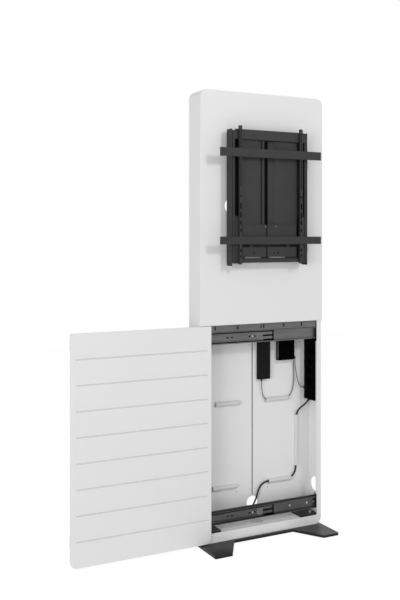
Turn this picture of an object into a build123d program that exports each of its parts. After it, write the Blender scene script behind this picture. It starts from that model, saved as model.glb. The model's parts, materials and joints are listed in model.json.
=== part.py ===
from build123d import *

import math
import os

# Counterbalanced floor stand for a television, in millimetres.
# A slim steel cabinet stands on a steel base with two feet. In front of its upper cover is a
# spring-balanced lift with two perforated arms and two hanging bars. Its lower door slides to the
# left on two telescopic slides, and is drawn open, so that the compartment shows.
# The origin is on the floor, under the middle of the column and level with its front face.
# X runs to the right, Y to the back and Z up.

os.makedirs("parts", exist_ok=True)


# Driving dimensions of the column
COLUMN_WIDTH = 668
COLUMN_DEPTH = 117
COLUMN_TOP = 2085
CORNER_RADIUS = 33
SHEET = 2
SIDE_FLANGE = 24
BODY_FRONT = 11
HALF_WIDTH = COLUMN_WIDTH / 2
WALL = HALF_WIDTH - SHEET

# Base
MAT_THICKNESS = 2
BASE_THICKNESS = 10
BODY_BOTTOM = MAT_THICKNESS + BASE_THICKNESS
FOOT_FRONT = -140
FOOT_FRONT_WIDTH = 87
FOOT_ROOT_WIDTH = 173
TRAY_TOP = 55
CLAMP_THICKNESS = 8
BASE_BOLTS = ((293, 46), (240, 90), (293, 90))
BASE_BOLT_RADIUS = 5
CABLE_HOLE_RADIUS = 30
LARGE_HOLE_RADIUS = 35

# Door and its slides
DOOR_THICKNESS = 10
DOOR_BOTTOM = 15
DOOR_HEIGHT = 990
DOOR_TOP = DOOR_BOTTOM + DOOR_HEIGHT
DOOR_TRAVEL = 612
PLANKS = 9
GROOVE_INSET = 25
GROOVE_WIDTH = 7
GROOVE_DEPTH = 3
SLIDE_HEIGHTS = (116.5, 945.5)
SLIDE_LENGTH = 630
SLIDE_HALF_HEIGHT = 26.5
SLIDE_STEEL = 1.8
BALL_RADIUS = 2.4
BALL_GAP = 0.35
OUTER_CAGE_LENGTH = 452
INNER_CAGE_LENGTH = 526
HANGER_RISE = 12
HANGER_HALF_HEIGHT = 24

# Back of the compartment
REAR_PANEL_FRONT = 107.5
PLATE_THICKNESS = 1.5
PLATE_BOTTOM = 172
PLATE_TOP = 1000
PLATE_EDGE = 277
COVER_BOTTOM = 1007

# Lift
LIFT_HALF_WIDTH = 205.5
LIFT_BOTTOM = 1293
GUIDE_BOTTOM = 1281
LIFT_TOP = 1905
LIFT_FRONT = -60
LIFT_BACK = -12
LIFT_STEEL = 2.5
TOP_PLATE_BOTTOM = 1860
ARM_X = 164.5
ARM_WIDTH = 13
ARM_DEPTH = 12
ARM_BOTTOM = 1288
ARM_TOP = 1920
BARS = ((1397, 35), (1797, 39))
BAR_HALF_LENGTH = 273
BAR_THICKNESS = 4
DRUM_X = 63.5
DRUM_Z = 1800


def front_plane(y):
    """A sketch plane that faces the viewer at depth y, with local x, y along X and Z."""
    return Plane(origin=(0, y, 0), x_dir=(1, 0, 0), z_dir=(0, -1, 0))


def side_plane(x):
    """A sketch plane that faces right at x, with local x, y along Y and Z."""
    return Plane(origin=(x, 0, 0), x_dir=(0, 1, 0), z_dir=(1, 0, 0))


def block(x, y, z, mode=Mode.ADD):
    """A rectangular block that fills three ranges, each a pair of low and high."""
    centre = ((x[0] + x[1]) / 2, (y[0] + y[1]) / 2, (z[0] + z[1]) / 2)
    with Locations(centre):
        Box(x[1] - x[0], y[1] - y[0], z[1] - z[0], mode=mode)


def both_sides(x):
    """A range on the right and the same range mirrored to the left."""
    return ((x[0], x[1]), (-x[1], -x[0]))


def rod(centre, radius, y, mode=Mode.ADD):
    """A round bar along Y with its axis at centre, given as X and Z."""
    with Locations(Location((centre[0], (y[0] + y[1]) / 2, centre[1]), (90, 0, 0))):
        Cylinder(radius, y[1] - y[0], mode=mode)


def upright(centre, radius, z, mode=Mode.ADD):
    """A round bar along Z with its axis at centre, given as X and Y."""
    with Locations((centre[0], centre[1], (z[0] + z[1]) / 2)):
        Cylinder(radius, z[1] - z[0], mode=mode)


def crossbar(centre, radius, x, mode=Mode.ADD):
    """A round bar along X with its axis at centre, given as Y and Z."""
    with Locations(Location(((x[0] + x[1]) / 2, centre[0], centre[1]), (0, 90, 0))):
        Cylinder(radius, x[1] - x[0], mode=mode)


def screw(x, z, head, length, head_radius=3.5, head_height=2.2, radius=2):
    """A pan-head screw along Y: head is the Y of the face under its head, length may be negative."""
    towards = 1 if length > 0 else -1
    rod((x, z), head_radius, sorted((head - towards * head_height, head)))
    rod((x, z), radius, sorted((head, head + length)))


def save(builder, name):
    """Labels one finished sub-part and writes it."""
    builder.part.label = name
    export_step(builder.part, f"parts/{name}.step")


# Base plate with its two feet, cut from one steel sheet
FOOT_OUTER = HALF_WIDTH - 2
FOOT_INNER_ROOT = HALF_WIDTH - FOOT_ROOT_WIDTH
FOOT_INNER_FRONT = FOOT_OUTER - FOOT_FRONT_WIDTH
BASE_FRONT = -5
BASE_BACK = COLUMN_DEPTH
BASE_OUTLINE = (
    (-FOOT_OUTER, BASE_BACK),
    (-FOOT_OUTER, FOOT_FRONT),
    (-FOOT_INNER_FRONT, FOOT_FRONT),
    (-FOOT_INNER_ROOT, BASE_FRONT),
    (FOOT_INNER_ROOT, BASE_FRONT),
    (FOOT_INNER_FRONT, FOOT_FRONT),
    (FOOT_OUTER, FOOT_FRONT),
    (FOOT_OUTER, BASE_BACK),
)

with BuildPart() as base_plate:
    with BuildSketch(Plane.XY.offset(MAT_THICKNESS)) as outline:
        with BuildLine():
            Polyline(*BASE_OUTLINE, close=True)
        make_face()
        fillet(outline.vertices().group_by(Axis.Y)[0], radius=8)
    extrude(amount=BASE_THICKNESS)
    chamfer(base_plate.faces().sort_by(Axis.Z)[-1].edges(), length=0.8)
    for side in (-1, 1):
        for x, y in BASE_BOLTS:
            upright((side * x, y), BASE_BOLT_RADIUS + 0.1, (0, BODY_BOTTOM + 1), Mode.SUBTRACT)
save(base_plate, "base_plate")

# Rubber mat that keeps the steel off the floor, cut to the base with a small margin
MAT_MARGIN = 1
with BuildPart() as floor_mat:
    with BuildSketch() as outline:
        with BuildLine():
            Polyline(*BASE_OUTLINE, close=True)
        make_face()
        fillet(outline.vertices().group_by(Axis.Y)[0], radius=8)
        offset(amount=-MAT_MARGIN, kind=Kind.INTERSECTION)
    extrude(amount=MAT_THICKNESS)
save(floor_mat, "floor_mat")

SLEEVE_RADIUS = 7.5

# Steel sleeves that carry the clamping load through the hollow plinth
with BuildPart() as base_sleeves:
    for side in (-1, 1):
        for x, y in BASE_BOLTS:
            upright((side * x, y), SLEEVE_RADIUS, (BODY_BOTTOM + SHEET, TRAY_TOP - SHEET))
            upright((side * x, y), BASE_BOLT_RADIUS + 0.1, (0, TRAY_TOP), Mode.SUBTRACT)
save(base_sleeves, "base_sleeves")

# Clamp plates on the compartment floor
CLAMP_X = (219, 316)
CLAMP_Y = (15, 101)
with BuildPart() as clamp_plates:
    for x in both_sides(CLAMP_X):
        block(x, CLAMP_Y, (TRAY_TOP, TRAY_TOP + CLAMP_THICKNESS))
    fillet(clamp_plates.edges().filter_by(Axis.Z), radius=3)
    for side in (-1, 1):
        for x, y in BASE_BOLTS:
            upright((side * x, y), BASE_BOLT_RADIUS + 0.1, (TRAY_TOP - 1, 80), Mode.SUBTRACT)
save(clamp_plates, "clamp_plates")

# Bolts that hold the column to the base
with BuildPart() as base_bolts:
    for side in (-1, 1):
        for x, y in BASE_BOLTS:
            upright((side * x, y), BASE_BOLT_RADIUS, (MAT_THICKNESS + 1, TRAY_TOP + CLAMP_THICKNESS))
            upright((side * x, y), 8, (TRAY_TOP + CLAMP_THICKNESS, TRAY_TOP + CLAMP_THICKNESS + 6))
            with BuildSketch(Plane.XY.offset(TRAY_TOP + CLAMP_THICKNESS + 2)):
                with Locations((side * x, y)):
                    RegularPolygon(radius=4, side_count=6)
            extrude(amount=10, mode=Mode.SUBTRACT)
save(base_bolts, "base_bolts")


# Column body of four bent sheets: two sides with rounded ends, a top and a bottom, welded edge
# to edge where the rounded corners end, all with a flange at the front and one at the back.
# Between the slides the side flanges have a folded lip.
FLANGE_INNER = HALF_WIDTH - SIDE_FLANGE
BODY_HEIGHT = COLUMN_TOP - BODY_BOTTOM
BODY_MIDDLE = (COLUMN_TOP + BODY_BOTTOM) / 2
REAR_FLANGE = 15
REAR_FLANGE_FRONT = REAR_PANEL_FRONT + SHEET
PANEL_SCREW_X = WALL - 8
PANEL_SCREW_HEIGHTS = (80, 330, 640, 950, 1060, 1350, 1700, 2030)
COVER_SCREW_X = 322
COVER_SCREW_HEIGHTS = (1040, 1250, 1560, 1820, 2040)
SIDE_HOLE = (58, 193)
RAIL_SCREW_Y = 50
RAIL_SCREW_HEIGHTS = (100, 133, 930, 985)
SLIDE_NOTCH = ((-HALF_WIDTH - 1, -FLANGE_INNER + 1), (BODY_FRONT - 1, 30))
SCREW_HOLE = 2.1
LIP_BACK = 21
LIP_Z = (156, 903)
SLIDE_NOTCH_DROP = 31.5
SLIDE_NOTCH_RISE = 43.5

with BuildPart() as cabinet_shell:
    with BuildSketch(front_plane(COLUMN_DEPTH)) as ring:
        with Locations((0, BODY_MIDDLE)):
            RectangleRounded(COLUMN_WIDTH, BODY_HEIGHT, CORNER_RADIUS)
            RectangleRounded(
                2 * WALL, BODY_HEIGHT - 2 * SHEET, CORNER_RADIUS - SHEET, mode=Mode.SUBTRACT
            )
    extrude(amount=COLUMN_DEPTH - BODY_FRONT)
    with BuildSketch(front_plane(BODY_FRONT + SHEET)) as front_flange:
        with Locations((0, BODY_MIDDLE)):
            RectangleRounded(COLUMN_WIDTH, BODY_HEIGHT, CORNER_RADIUS)
        with Locations((0, (TRAY_TOP + COLUMN_TOP - SIDE_FLANGE) / 2)):
            RectangleRounded(
                2 * FLANGE_INNER, COLUMN_TOP - SIDE_FLANGE - TRAY_TOP, 6, mode=Mode.SUBTRACT
            )
    extrude(amount=SHEET)
    with BuildSketch(front_plane(REAR_FLANGE_FRONT + SHEET)) as rear_flange:
        with Locations((0, BODY_MIDDLE)):
            RectangleRounded(2 * WALL, BODY_HEIGHT - 2 * SHEET, CORNER_RADIUS - SHEET)
            RectangleRounded(
                2 * (WALL - REAR_FLANGE),
                BODY_HEIGHT - 2 * SHEET - 2 * REAR_FLANGE,
                CORNER_RADIUS - SHEET - REAR_FLANGE,
                mode=Mode.SUBTRACT,
            )
    extrude(amount=SHEET)
    for height in SLIDE_HEIGHTS:
        block(*SLIDE_NOTCH, (height - SLIDE_NOTCH_DROP, height + SLIDE_NOTCH_RISE), Mode.SUBTRACT)
    for side in both_sides((WALL - 1, HALF_WIDTH + 1)):
        crossbar(SIDE_HOLE, LARGE_HOLE_RADIUS, side, Mode.SUBTRACT)
    for side in (-1, 1):
        for height in PANEL_SCREW_HEIGHTS:
            rod((side * PANEL_SCREW_X, height), SCREW_HOLE, (100, 116), Mode.SUBTRACT)
        for height in COVER_SCREW_HEIGHTS:
            rod((side * COVER_SCREW_X, height), SCREW_HOLE, (10, 14), Mode.SUBTRACT)
        for x, y in BASE_BOLTS:
            upright((side * x, y), BASE_BOLT_RADIUS + 0.1, (0, 20), Mode.SUBTRACT)
    for side in both_sides((WALL - 1, HALF_WIDTH + 1)):
        for height in RAIL_SCREW_HEIGHTS:
            crossbar((RAIL_SCREW_Y, height), SCREW_HOLE, side, Mode.SUBTRACT)
    for lip in both_sides((FLANGE_INNER, FLANGE_INNER + SHEET)):
        block(lip, (BODY_FRONT + SHEET, LIP_BACK), LIP_Z)
    for weld in (CORNER_RADIUS - HALF_WIDTH, HALF_WIDTH - CORNER_RADIUS):
        split(bisect_by=Plane.YZ.offset(weld), keep=Keep.BOTH)
save(cabinet_shell, "cabinet_shell")

# Compartment floor, a bent shelf over the plinth
with BuildPart() as floor_tray:
    block((-WALL, WALL), (BODY_FRONT + SHEET, REAR_PANEL_FRONT), (TRAY_TOP - SHEET, TRAY_TOP))
    block(
        (-295, 295),
        (REAR_PANEL_FRONT - SHEET, REAR_PANEL_FRONT),
        (BODY_BOTTOM + SHEET, TRAY_TOP - SHEET),
    )
    upright((0, 63), CABLE_HOLE_RADIUS, (TRAY_TOP - 5, TRAY_TOP + 1), Mode.SUBTRACT)
    for side in (-1, 1):
        for x, y in BASE_BOLTS:
            upright((side * x, y), BASE_BOLT_RADIUS + 0.1, (50, 60), Mode.SUBTRACT)
save(floor_tray, "floor_tray")

# Snap-in cap that closes the cable hole in the compartment floor
with BuildPart() as cable_hole_cap:
    upright((0, 63), CABLE_HOLE_RADIUS + 2, (TRAY_TOP, TRAY_TOP + 1.2))
    fillet(cable_hole_cap.edges().group_by(Axis.Z)[-1], radius=0.8)
    upright((0, 63), CABLE_HOLE_RADIUS - 0.2, (TRAY_TOP - 8, TRAY_TOP))
    upright((0, 63), CABLE_HOLE_RADIUS - 2, (TRAY_TOP - 9, TRAY_TOP - 1), Mode.SUBTRACT)
save(cable_hole_cap, "cable_hole_cap")

# Rear panels, held against the rear flange
REAR_HALF = WALL - 0.5
REAR_CORNER = CORNER_RADIUS - SHEET
MAINS_HOLE = (0, 135)
UPPER_CABLE_HOLE = (-174.5, 1556)
REAR_OPENING_CENTRE = (-130, 1556)
REAR_OPENING = (180, 100)
PLATE_SCREWS = ((14.4, 200), (86, 197), (271, 200), (14.4, 891), (271, 891))
WALL_ANCHOR_X = 250
WALL_ANCHOR_HEIGHTS = (1130, 1930)

with BuildPart() as lower_rear_panel:
    with BuildSketch(front_plane(REAR_PANEL_FRONT + SHEET)) as sheet:
        with Locations((0, (BODY_BOTTOM + SHEET + 1004) / 2)):
            Rectangle(2 * REAR_HALF, 1004 - BODY_BOTTOM - SHEET)
        fillet(sheet.vertices().group_by(Axis.Y)[0], radius=REAR_CORNER)
        with Locations(MAINS_HOLE):
            Circle(CABLE_HOLE_RADIUS, mode=Mode.SUBTRACT)
    extrude(amount=SHEET)
    for side in (-1, 1):
        for height in PANEL_SCREW_HEIGHTS[:4]:
            rod((side * PANEL_SCREW_X, height), SCREW_HOLE, (100, 116), Mode.SUBTRACT)
        for x, z in PLATE_SCREWS:
            rod((side * x, z), SCREW_HOLE, (100, 116), Mode.SUBTRACT)
save(lower_rear_panel, "lower_rear_panel")

with BuildPart() as upper_rear_panel:
    with BuildSketch(front_plane(REAR_PANEL_FRONT + SHEET)) as sheet:
        with Locations((0, (1006 + COLUMN_TOP - SHEET) / 2)):
            Rectangle(2 * REAR_HALF, COLUMN_TOP - SHEET - 1006)
        fillet(sheet.vertices().group_by(Axis.Y)[-1], radius=REAR_CORNER)
        with Locations(REAR_OPENING_CENTRE):
            RectangleRounded(*REAR_OPENING, 20, mode=Mode.SUBTRACT)
        for height in WALL_ANCHOR_HEIGHTS:
            with Locations((-WALL_ANCHOR_X, height), (WALL_ANCHOR_X, height)):
                Circle(4.5, mode=Mode.SUBTRACT)
    extrude(amount=SHEET)
    for side in (-1, 1):
        for height in PANEL_SCREW_HEIGHTS[4:]:
            rod((side * PANEL_SCREW_X, height), SCREW_HOLE, (100, 116), Mode.SUBTRACT)
save(upper_rear_panel, "upper_rear_panel")

# Screws of the rear panels, the back plates and the front cover
PLATE_FRONT = REAR_PANEL_FRONT - PLATE_THICKNESS
with BuildPart() as panel_screws:
    for side in (-1, 1):
        for x, z in PLATE_SCREWS:
            screw(side * x, z, PLATE_FRONT, 5.5, 3.2, 1.8)
        for height in PANEL_SCREW_HEIGHTS:
            screw(side * PANEL_SCREW_X, height, REAR_FLANGE_FRONT + SHEET, -6)
        for height in COVER_SCREW_HEIGHTS:
            screw(side * COVER_SCREW_X, height, BODY_FRONT + SHEET, -8)
save(panel_screws, "panel_screws")

# Fixed front cover of the upper column
LIFT_BOLTS = ((-150, 1308), (0, 1308), (150, 1308), (-150, 1882), (0, 1882), (150, 1882))
with BuildPart() as upper_cover:
    with BuildSketch(front_plane(BODY_FRONT)) as sheet:
        with Locations((0, (COVER_BOTTOM + COLUMN_TOP) / 2)):
            Rectangle(COLUMN_WIDTH, COLUMN_TOP - COVER_BOTTOM)
        fillet(sheet.vertices().group_by(Axis.Y)[-1], radius=CORNER_RADIUS)
        with Locations(UPPER_CABLE_HOLE):
            Circle(LARGE_HOLE_RADIUS, mode=Mode.SUBTRACT)
        with Locations(*LIFT_BOLTS):
            Circle(12.3, mode=Mode.SUBTRACT)
    extrude(amount=BODY_FRONT)
    front_edges = upper_cover.faces().sort_by(Axis.Y)[0].outer_wire().edges()
    fillet(front_edges, radius=1)
    for side in (-1, 1):
        for height in COVER_SCREW_HEIGHTS:
            rod((side * COVER_SCREW_X, height), SCREW_HOLE, (4, 12), Mode.SUBTRACT)
save(upper_cover, "upper_cover")

# Back plates of the compartment
JOINT_HALF_WIDTH = 3.2
with BuildPart() as back_plates:
    for x in both_sides((JOINT_HALF_WIDTH, PLATE_EDGE)):
        block(x, (PLATE_FRONT, REAR_PANEL_FRONT), (PLATE_BOTTOM, PLATE_TOP))
    for side in (-1, 1):
        for x, z in PLATE_SCREWS:
            rod((side * x, z), SCREW_HOLE, (100, 116), Mode.SUBTRACT)
save(back_plates, "back_plates")

# Grey foam strip that fills the joint between the two plates
with BuildPart() as joint_strip:
    block(
        (-JOINT_HALF_WIDTH, JOINT_HALF_WIDTH),
        (PLATE_FRONT + 0.4, REAR_PANEL_FRONT),
        (PLATE_BOTTOM, PLATE_TOP),
    )
save(joint_strip, "joint_strip")

# Half-round cable guides on the back plates
GUIDE_WIDTH = 24
GUIDE_DEPTH = 14
GUIDE_WALL = 1.2
SHORT_GUIDE_LENGTH = 130
LONG_GUIDE_LENGTH = 250
UPPER_GUIDE = (137.5, 622)
LOWER_GUIDE = (153, 226)
UPRIGHT_GUIDE = (251.5, 410)


def guide_profile(across, depth):
    """Half-oval ring, open to the back plate, drawn in the plane of the running sketch."""
    with BuildSketch(mode=Mode.PRIVATE) as ring:
        Ellipse(across / 2, depth)
        Ellipse(across / 2 - GUIDE_WALL, depth - GUIDE_WALL, mode=Mode.SUBTRACT)
        with Locations((0, -depth)):
            Rectangle(2 * across, 2 * depth, mode=Mode.SUBTRACT)
    return ring.sketch


with BuildPart() as cable_guides:
    for side in (-1, 1):
        for x, z in (UPPER_GUIDE, LOWER_GUIDE):
            start = side * x - SHORT_GUIDE_LENGTH / 2
            section = Plane(origin=(start, PLATE_FRONT, z), x_dir=(0, 0, 1), z_dir=(1, 0, 0))
            with BuildSketch(section):
                add(guide_profile(GUIDE_WIDTH, GUIDE_DEPTH))
            extrude(amount=SHORT_GUIDE_LENGTH)
    for side in (-1, 1):
        x, z = UPRIGHT_GUIDE
        bottom = (side * x, PLATE_FRONT, z - LONG_GUIDE_LENGTH / 2)
        section = Plane(origin=bottom, x_dir=(-1, 0, 0), z_dir=(0, 0, 1))
        with BuildSketch(section):
            add(guide_profile(GUIDE_WIDTH, GUIDE_DEPTH))
        extrude(amount=LONG_GUIDE_LENGTH)
save(cable_guides, "cable_guides")

# Powered devices in the compartment
ADAPTER_X = (25, 91)
ADAPTER_Z = (726, 913)
ADAPTER_DEPTH = 20
with BuildPart() as power_adapter:
    block(ADAPTER_X, (PLATE_FRONT - ADAPTER_DEPTH, PLATE_FRONT), ADAPTER_Z)
    fillet(power_adapter.faces().sort_by(Axis.Y)[0].edges(), radius=3)
save(power_adapter, "power_adapter")

BOX_X = (135, 225.5)
BOX_Z = (812, 912)
BOX_FRONT = 79
BOX_CHAMFER = 5
with BuildPart() as media_box:
    block(BOX_X, (BOX_FRONT, PLATE_FRONT), BOX_Z)
    corner = media_box.edges().filter_by(Axis.Y).group_by(Axis.Z)[0].sort_by(Axis.X)[-1]
    chamfer(corner, length=BOX_CHAMFER)
    fillet(media_box.faces().sort_by(Axis.Y)[0].edges(), radius=1.5)
save(media_box, "media_box")

STRIP_X = (298, WALL)
STRIP_Y = (22, 105)
STRIP_Z = (611, 912)
SOCKET_HEIGHTS = (700, 750, 800, 850)
SOCKET_Y = 50
SWITCH_CENTRE = (86, 634)
with BuildPart() as power_strip:
    block(STRIP_X, STRIP_Y, STRIP_Z)
    fillet(power_strip.faces().sort_by(Axis.X)[0].edges(), radius=3)
    for height in SOCKET_HEIGHTS:
        crossbar((SOCKET_Y, height), 19.5, (STRIP_X[0] - 1, STRIP_X[0] + 15), Mode.SUBTRACT)
    block(
        (STRIP_X[0] - 1, STRIP_X[0] + 8),
        (SWITCH_CENTRE[0] - 7.5, SWITCH_CENTRE[0] + 7.5),
        (SWITCH_CENTRE[1] - 13, SWITCH_CENTRE[1] + 13),
        Mode.SUBTRACT,
    )
save(power_strip, "power_strip")

# Rocker of the strip's switch, on a short pin between the walls of its recess
ROCKER_TILT = 6
ROCKER_AXIS_X = STRIP_X[0] + 2.5
with BuildPart() as strip_switch:
    with BuildSketch(Plane(origin=(ROCKER_AXIS_X, SWITCH_CENTRE[0] + 6.8, SWITCH_CENTRE[1]),
                           x_dir=(1, 0, 0), z_dir=(0, -1, 0))):
        Rectangle(5, 22, rotation=ROCKER_TILT)
    extrude(amount=13.6)
    fillet(strip_switch.edges().filter_by(Axis.Y), radius=0.8)
    rod((ROCKER_AXIS_X, SWITCH_CENTRE[1]), 1.2, (SWITCH_CENTRE[0] - 7.4, SWITCH_CENTRE[0] + 7.4))
save(strip_switch, "strip_switch")

# Small plugs of the two thin leads, and the sleeve where the mains lead leaves the strip
BOX_PLUG_X = 232
BOX_PLUG_END = 234
BOX_PLUG_Z = (815, 826)
STRIP_PLUG = (96, 667)
MAINS_EXIT = (315, 80, STRIP_Z[0])
MAINS_EXIT_DIRECTION = (-0.72, 0.06, -0.69)
MAINS_SLEEVE_LENGTH = 18
ADAPTER_LEAD_EXIT = (46.7, 96)
with BuildPart() as lead_fittings:
    block((BOX_X[1], BOX_PLUG_END), (82, 90), BOX_PLUG_Z)
    block((BOX_X[1], BOX_PLUG_END), (95, 103), BOX_PLUG_Z)
    fillet(lead_fittings.edges().filter_by(Axis.Y).group_by(Axis.X)[-1], radius=3)
    block(
        (STRIP_X[0] - 2, STRIP_X[0]),
        (STRIP_PLUG[0] - 7, STRIP_PLUG[0] + 7),
        (STRIP_PLUG[1] - 9, STRIP_PLUG[1] + 9),
    )
    with Locations((ADAPTER_LEAD_EXIT[0], ADAPTER_LEAD_EXIT[1], ADAPTER_Z[0] - 6)):
        Cone(2.4, 4.5, 12)
    tilted = Plane(origin=MAINS_EXIT, z_dir=MAINS_EXIT_DIRECTION)
    with BuildSketch(tilted.offset(-8)):
        Circle(7)
    with BuildSketch(tilted.offset(MAINS_SLEEVE_LENGTH)):
        Circle(4.6)
    loft()
    block((280, 345), (60, 100), (STRIP_Z[0], STRIP_Z[0] + 30), Mode.SUBTRACT)
save(lead_fittings, "lead_fittings")


# Leads, each one tube of straight runs joined by bends as large as the runs allow
def bend_radii(route):
    """For each inner point, 0.45 of the shorter run over the tangent of half the turn."""
    corners = [Vector(*point) for point in route]
    radii = []
    for before, corner, after in zip(corners, corners[1:], corners[2:]):
        arriving = corner - before
        leaving = after - corner
        half_turn = math.radians(arriving.get_angle(leaving)) / 2
        radii.append(0.45 * min(arriving.length, leaving.length) / math.tan(half_turn))
    return radii


def lead_tube(route, diameter, name):
    """Writes one lead and prints its length, its bends and how its volume agrees."""
    radii = bend_radii(route)
    with BuildPart() as tube:
        with BuildLine() as path:
            FilletPolyline(*route, radius=radii)
        with BuildSketch(Plane(origin=path.line @ 0, z_dir=path.line % 0)):
            Circle(diameter / 2)
        sweep()
    length = path.wire().length
    ideal = math.pi * diameter**2 / 4 * length
    bends = " ".join(f"{radius:.0f}" for radius in radii)
    print(name, f"length {length:.0f}, volume ratio {tube.part.volume / ideal:.4f}, bends", bends)
    save(tube, name)


THIN_LEAD = 3.5
MAINS_LEAD = 8
ADAPTER_LEAD_ROUTE = (
    (46.7, 96, 714),
    (46.7, 96, 696),
    (48.6, 96.6, 676),
    (52.2, 97.6, 656),
    (59.5, 99.2, 638),
    (73, 100.4, 626),
    (91, 100.8, 621),
    (117, 100.9, 619.5),
    (148, 100.9, 619),
    (178, 100.8, 620.2),
    (199, 100.4, 625),
    (214, 99.6, 637.5),
    (224.5, 99, 656),
    (231, 98.8, 680),
    (234.4, 99, 708),
    (235.2, 99.2, 738),
    (233.8, 99.2, 768),
    (232, 99, 795),
    (232, 99, 815),
)
BOX_LEAD_ROUTE = (
    (232, 86, 815),
    (232, 86, 797),
    (235.5, 87.6, 774),
    (240.8, 89.6, 750),
    (246, 91.2, 729),
    (252.5, 93.2, 708),
    (259.5, 94.8, 690),
    (268.5, 95.8, 675.5),
    (281, 96, 667),
    (296, 96, 667),
)
MAINS_LEAD_ROUTE = (
    (302.028, 81.081, 598.568),
    (288.335, 82.222, 585.446),
    (271, 87.5, 573.5),
    (257, 94.5, 557.5),
    (249.2, 99.4, 533),
    (246.7, 100.9, 492),
    (246.3, 100.9, 430),
    (246.4, 100.9, 368),
    (247.4, 100.9, 318),
    (247.6, 100.9, 270),
    (238.8, 100.8, 247.8),
    (222.5, 100.9, 231.8),
    (203, 101, 224.6),
    (176, 100.9, 223.4),
    (144, 100.9, 223.6),
    (112, 100.8, 225.6),
    (82, 99.8, 227.6),
    (56, 98.4, 222.5),
    (37.5, 97.6, 206),
    (27, 98.2, 182),
    (20, 100.8, 156),
    (12, 107, 130),
    (4, 118, 104),
    (-3, 128.5, 76),
    (-10, 133.8, 46),
    (-21, 134, 21),
    (-41, 134, 6.5),
    (-72.5, 134, 4),
)
lead_tube(ADAPTER_LEAD_ROUTE, THIN_LEAD, "adapter_lead")
lead_tube(BOX_LEAD_ROUTE, THIN_LEAD, "box_lead")
lead_tube(MAINS_LEAD_ROUTE, MAINS_LEAD, "mains_lead")

# Spare length of the mains lead, wound flat on the floor behind the column
COIL_CENTRE = (-95, 190)
COIL_INNER = 28
COIL_OUTER = 60
COIL_HEIGHT = 2 * MAINS_LEAD
with BuildPart() as mains_lead_coil:
    upright(COIL_CENTRE, COIL_OUTER, (0, COIL_HEIGHT))
    upright(COIL_CENTRE, COIL_INNER, (-1, COIL_HEIGHT + 1), Mode.SUBTRACT)
    fillet(mains_lead_coil.edges().filter_by(GeomType.CIRCLE), radius=3)
save(mains_lead_coil, "mains_lead_coil")

# Mains plug that lies beside the coil, on its side
PLUG_CENTRE = (2, 228)
PLUG_RADIUS = 18
PLUG_LENGTH = 38
PIN_SPACING = 19
PIN_RADIUS = 2.4
PIN_LENGTH = 19
with BuildPart() as mains_plug:
    plug_span = (PLUG_CENTRE[0] - PLUG_LENGTH / 2, PLUG_CENTRE[0] + PLUG_LENGTH / 2)
    crossbar((PLUG_CENTRE[1], PLUG_RADIUS), PLUG_RADIUS, plug_span)
    fillet(mains_plug.faces().sort_by(Axis.X)[-1].edges(), radius=2)
    fillet(mains_plug.faces().sort_by(Axis.X)[0].edges(), radius=8)
    for offset_y in (-PIN_SPACING / 2, PIN_SPACING / 2):
        crossbar(
            (PLUG_CENTRE[1] + offset_y, PLUG_RADIUS),
            PIN_RADIUS,
            (plug_span[1] - 4, plug_span[1] + PIN_LENGTH),
        )
    strain_relief = (plug_span[0] - 9, PLUG_CENTRE[1], PLUG_RADIUS)
    with Locations(Location(strain_relief, (0, 90, 0))):
        Cone(4.4, 7, 22)
save(mains_plug, "mains_plug")

# Carriers of the two telescopic slides
RAIL_HALF_LENGTH = WALL - 0.5
UPPER_RAIL_WEB = (31, 33)
UPPER_RAIL_FRONT = (17, 19)
UPPER_RAIL_Z = (915, 1003)
LOWER_RAIL_WEB = (31, 34)
LOWER_RAIL_Z = (83, 150)
RAIL_TAB_BACK = 60
UPPER_SLIDE_SCREWS = (-290, -160, -20)
LOWER_SLIDE_SCREWS = (-290, 165.5, 263, 302.4)
SLIDE_SCREWS = dict(zip(SLIDE_HEIGHTS, (LOWER_SLIDE_SCREWS, UPPER_SLIDE_SCREWS)))
RAIL_SLOTS = (-250, -130, -4, 11, 122.8, 224.4)


def rail_holes(heights, slide_height):
    """Holes for the wall screws in both tabs and for the slide screws in the web."""
    for side in both_sides((WALL - 3, WALL + 1)):
        for height in heights:
            crossbar((RAIL_SCREW_Y, height), SCREW_HOLE, side, Mode.SUBTRACT)
    for x in SLIDE_SCREWS[slide_height]:
        rod((x, slide_height), 2.6, (30, 40), Mode.SUBTRACT)


with BuildPart() as upper_slide_rail:
    block((-RAIL_HALF_LENGTH, RAIL_HALF_LENGTH), UPPER_RAIL_WEB, UPPER_RAIL_Z)
    block(
        (-RAIL_HALF_LENGTH, RAIL_HALF_LENGTH),
        (UPPER_RAIL_FRONT[0], UPPER_RAIL_WEB[1]),
        (UPPER_RAIL_Z[1] - 2, UPPER_RAIL_Z[1]),
    )
    block((-RAIL_HALF_LENGTH, RAIL_HALF_LENGTH), UPPER_RAIL_FRONT, (974, UPPER_RAIL_Z[1]))
    for side in both_sides((WALL - 2, WALL)):
        block(side, (UPPER_RAIL_WEB[0], RAIL_TAB_BACK), UPPER_RAIL_Z)
    for x in RAIL_SLOTS:
        block((x - 3.5, x + 3.5), (10, 25), (983, 1000), Mode.SUBTRACT)
    rail_holes(RAIL_SCREW_HEIGHTS[2:], SLIDE_HEIGHTS[1])
save(upper_slide_rail, "upper_slide_rail")

with BuildPart() as lower_slide_rail:
    block((-RAIL_HALF_LENGTH, RAIL_HALF_LENGTH), LOWER_RAIL_WEB, LOWER_RAIL_Z)
    for side in both_sides((WALL - 2, WALL)):
        block(side, (LOWER_RAIL_WEB[0], RAIL_TAB_BACK), LOWER_RAIL_Z)
    rail_holes(RAIL_SCREW_HEIGHTS[:2], SLIDE_HEIGHTS[0])
save(lower_slide_rail, "lower_slide_rail")

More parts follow.
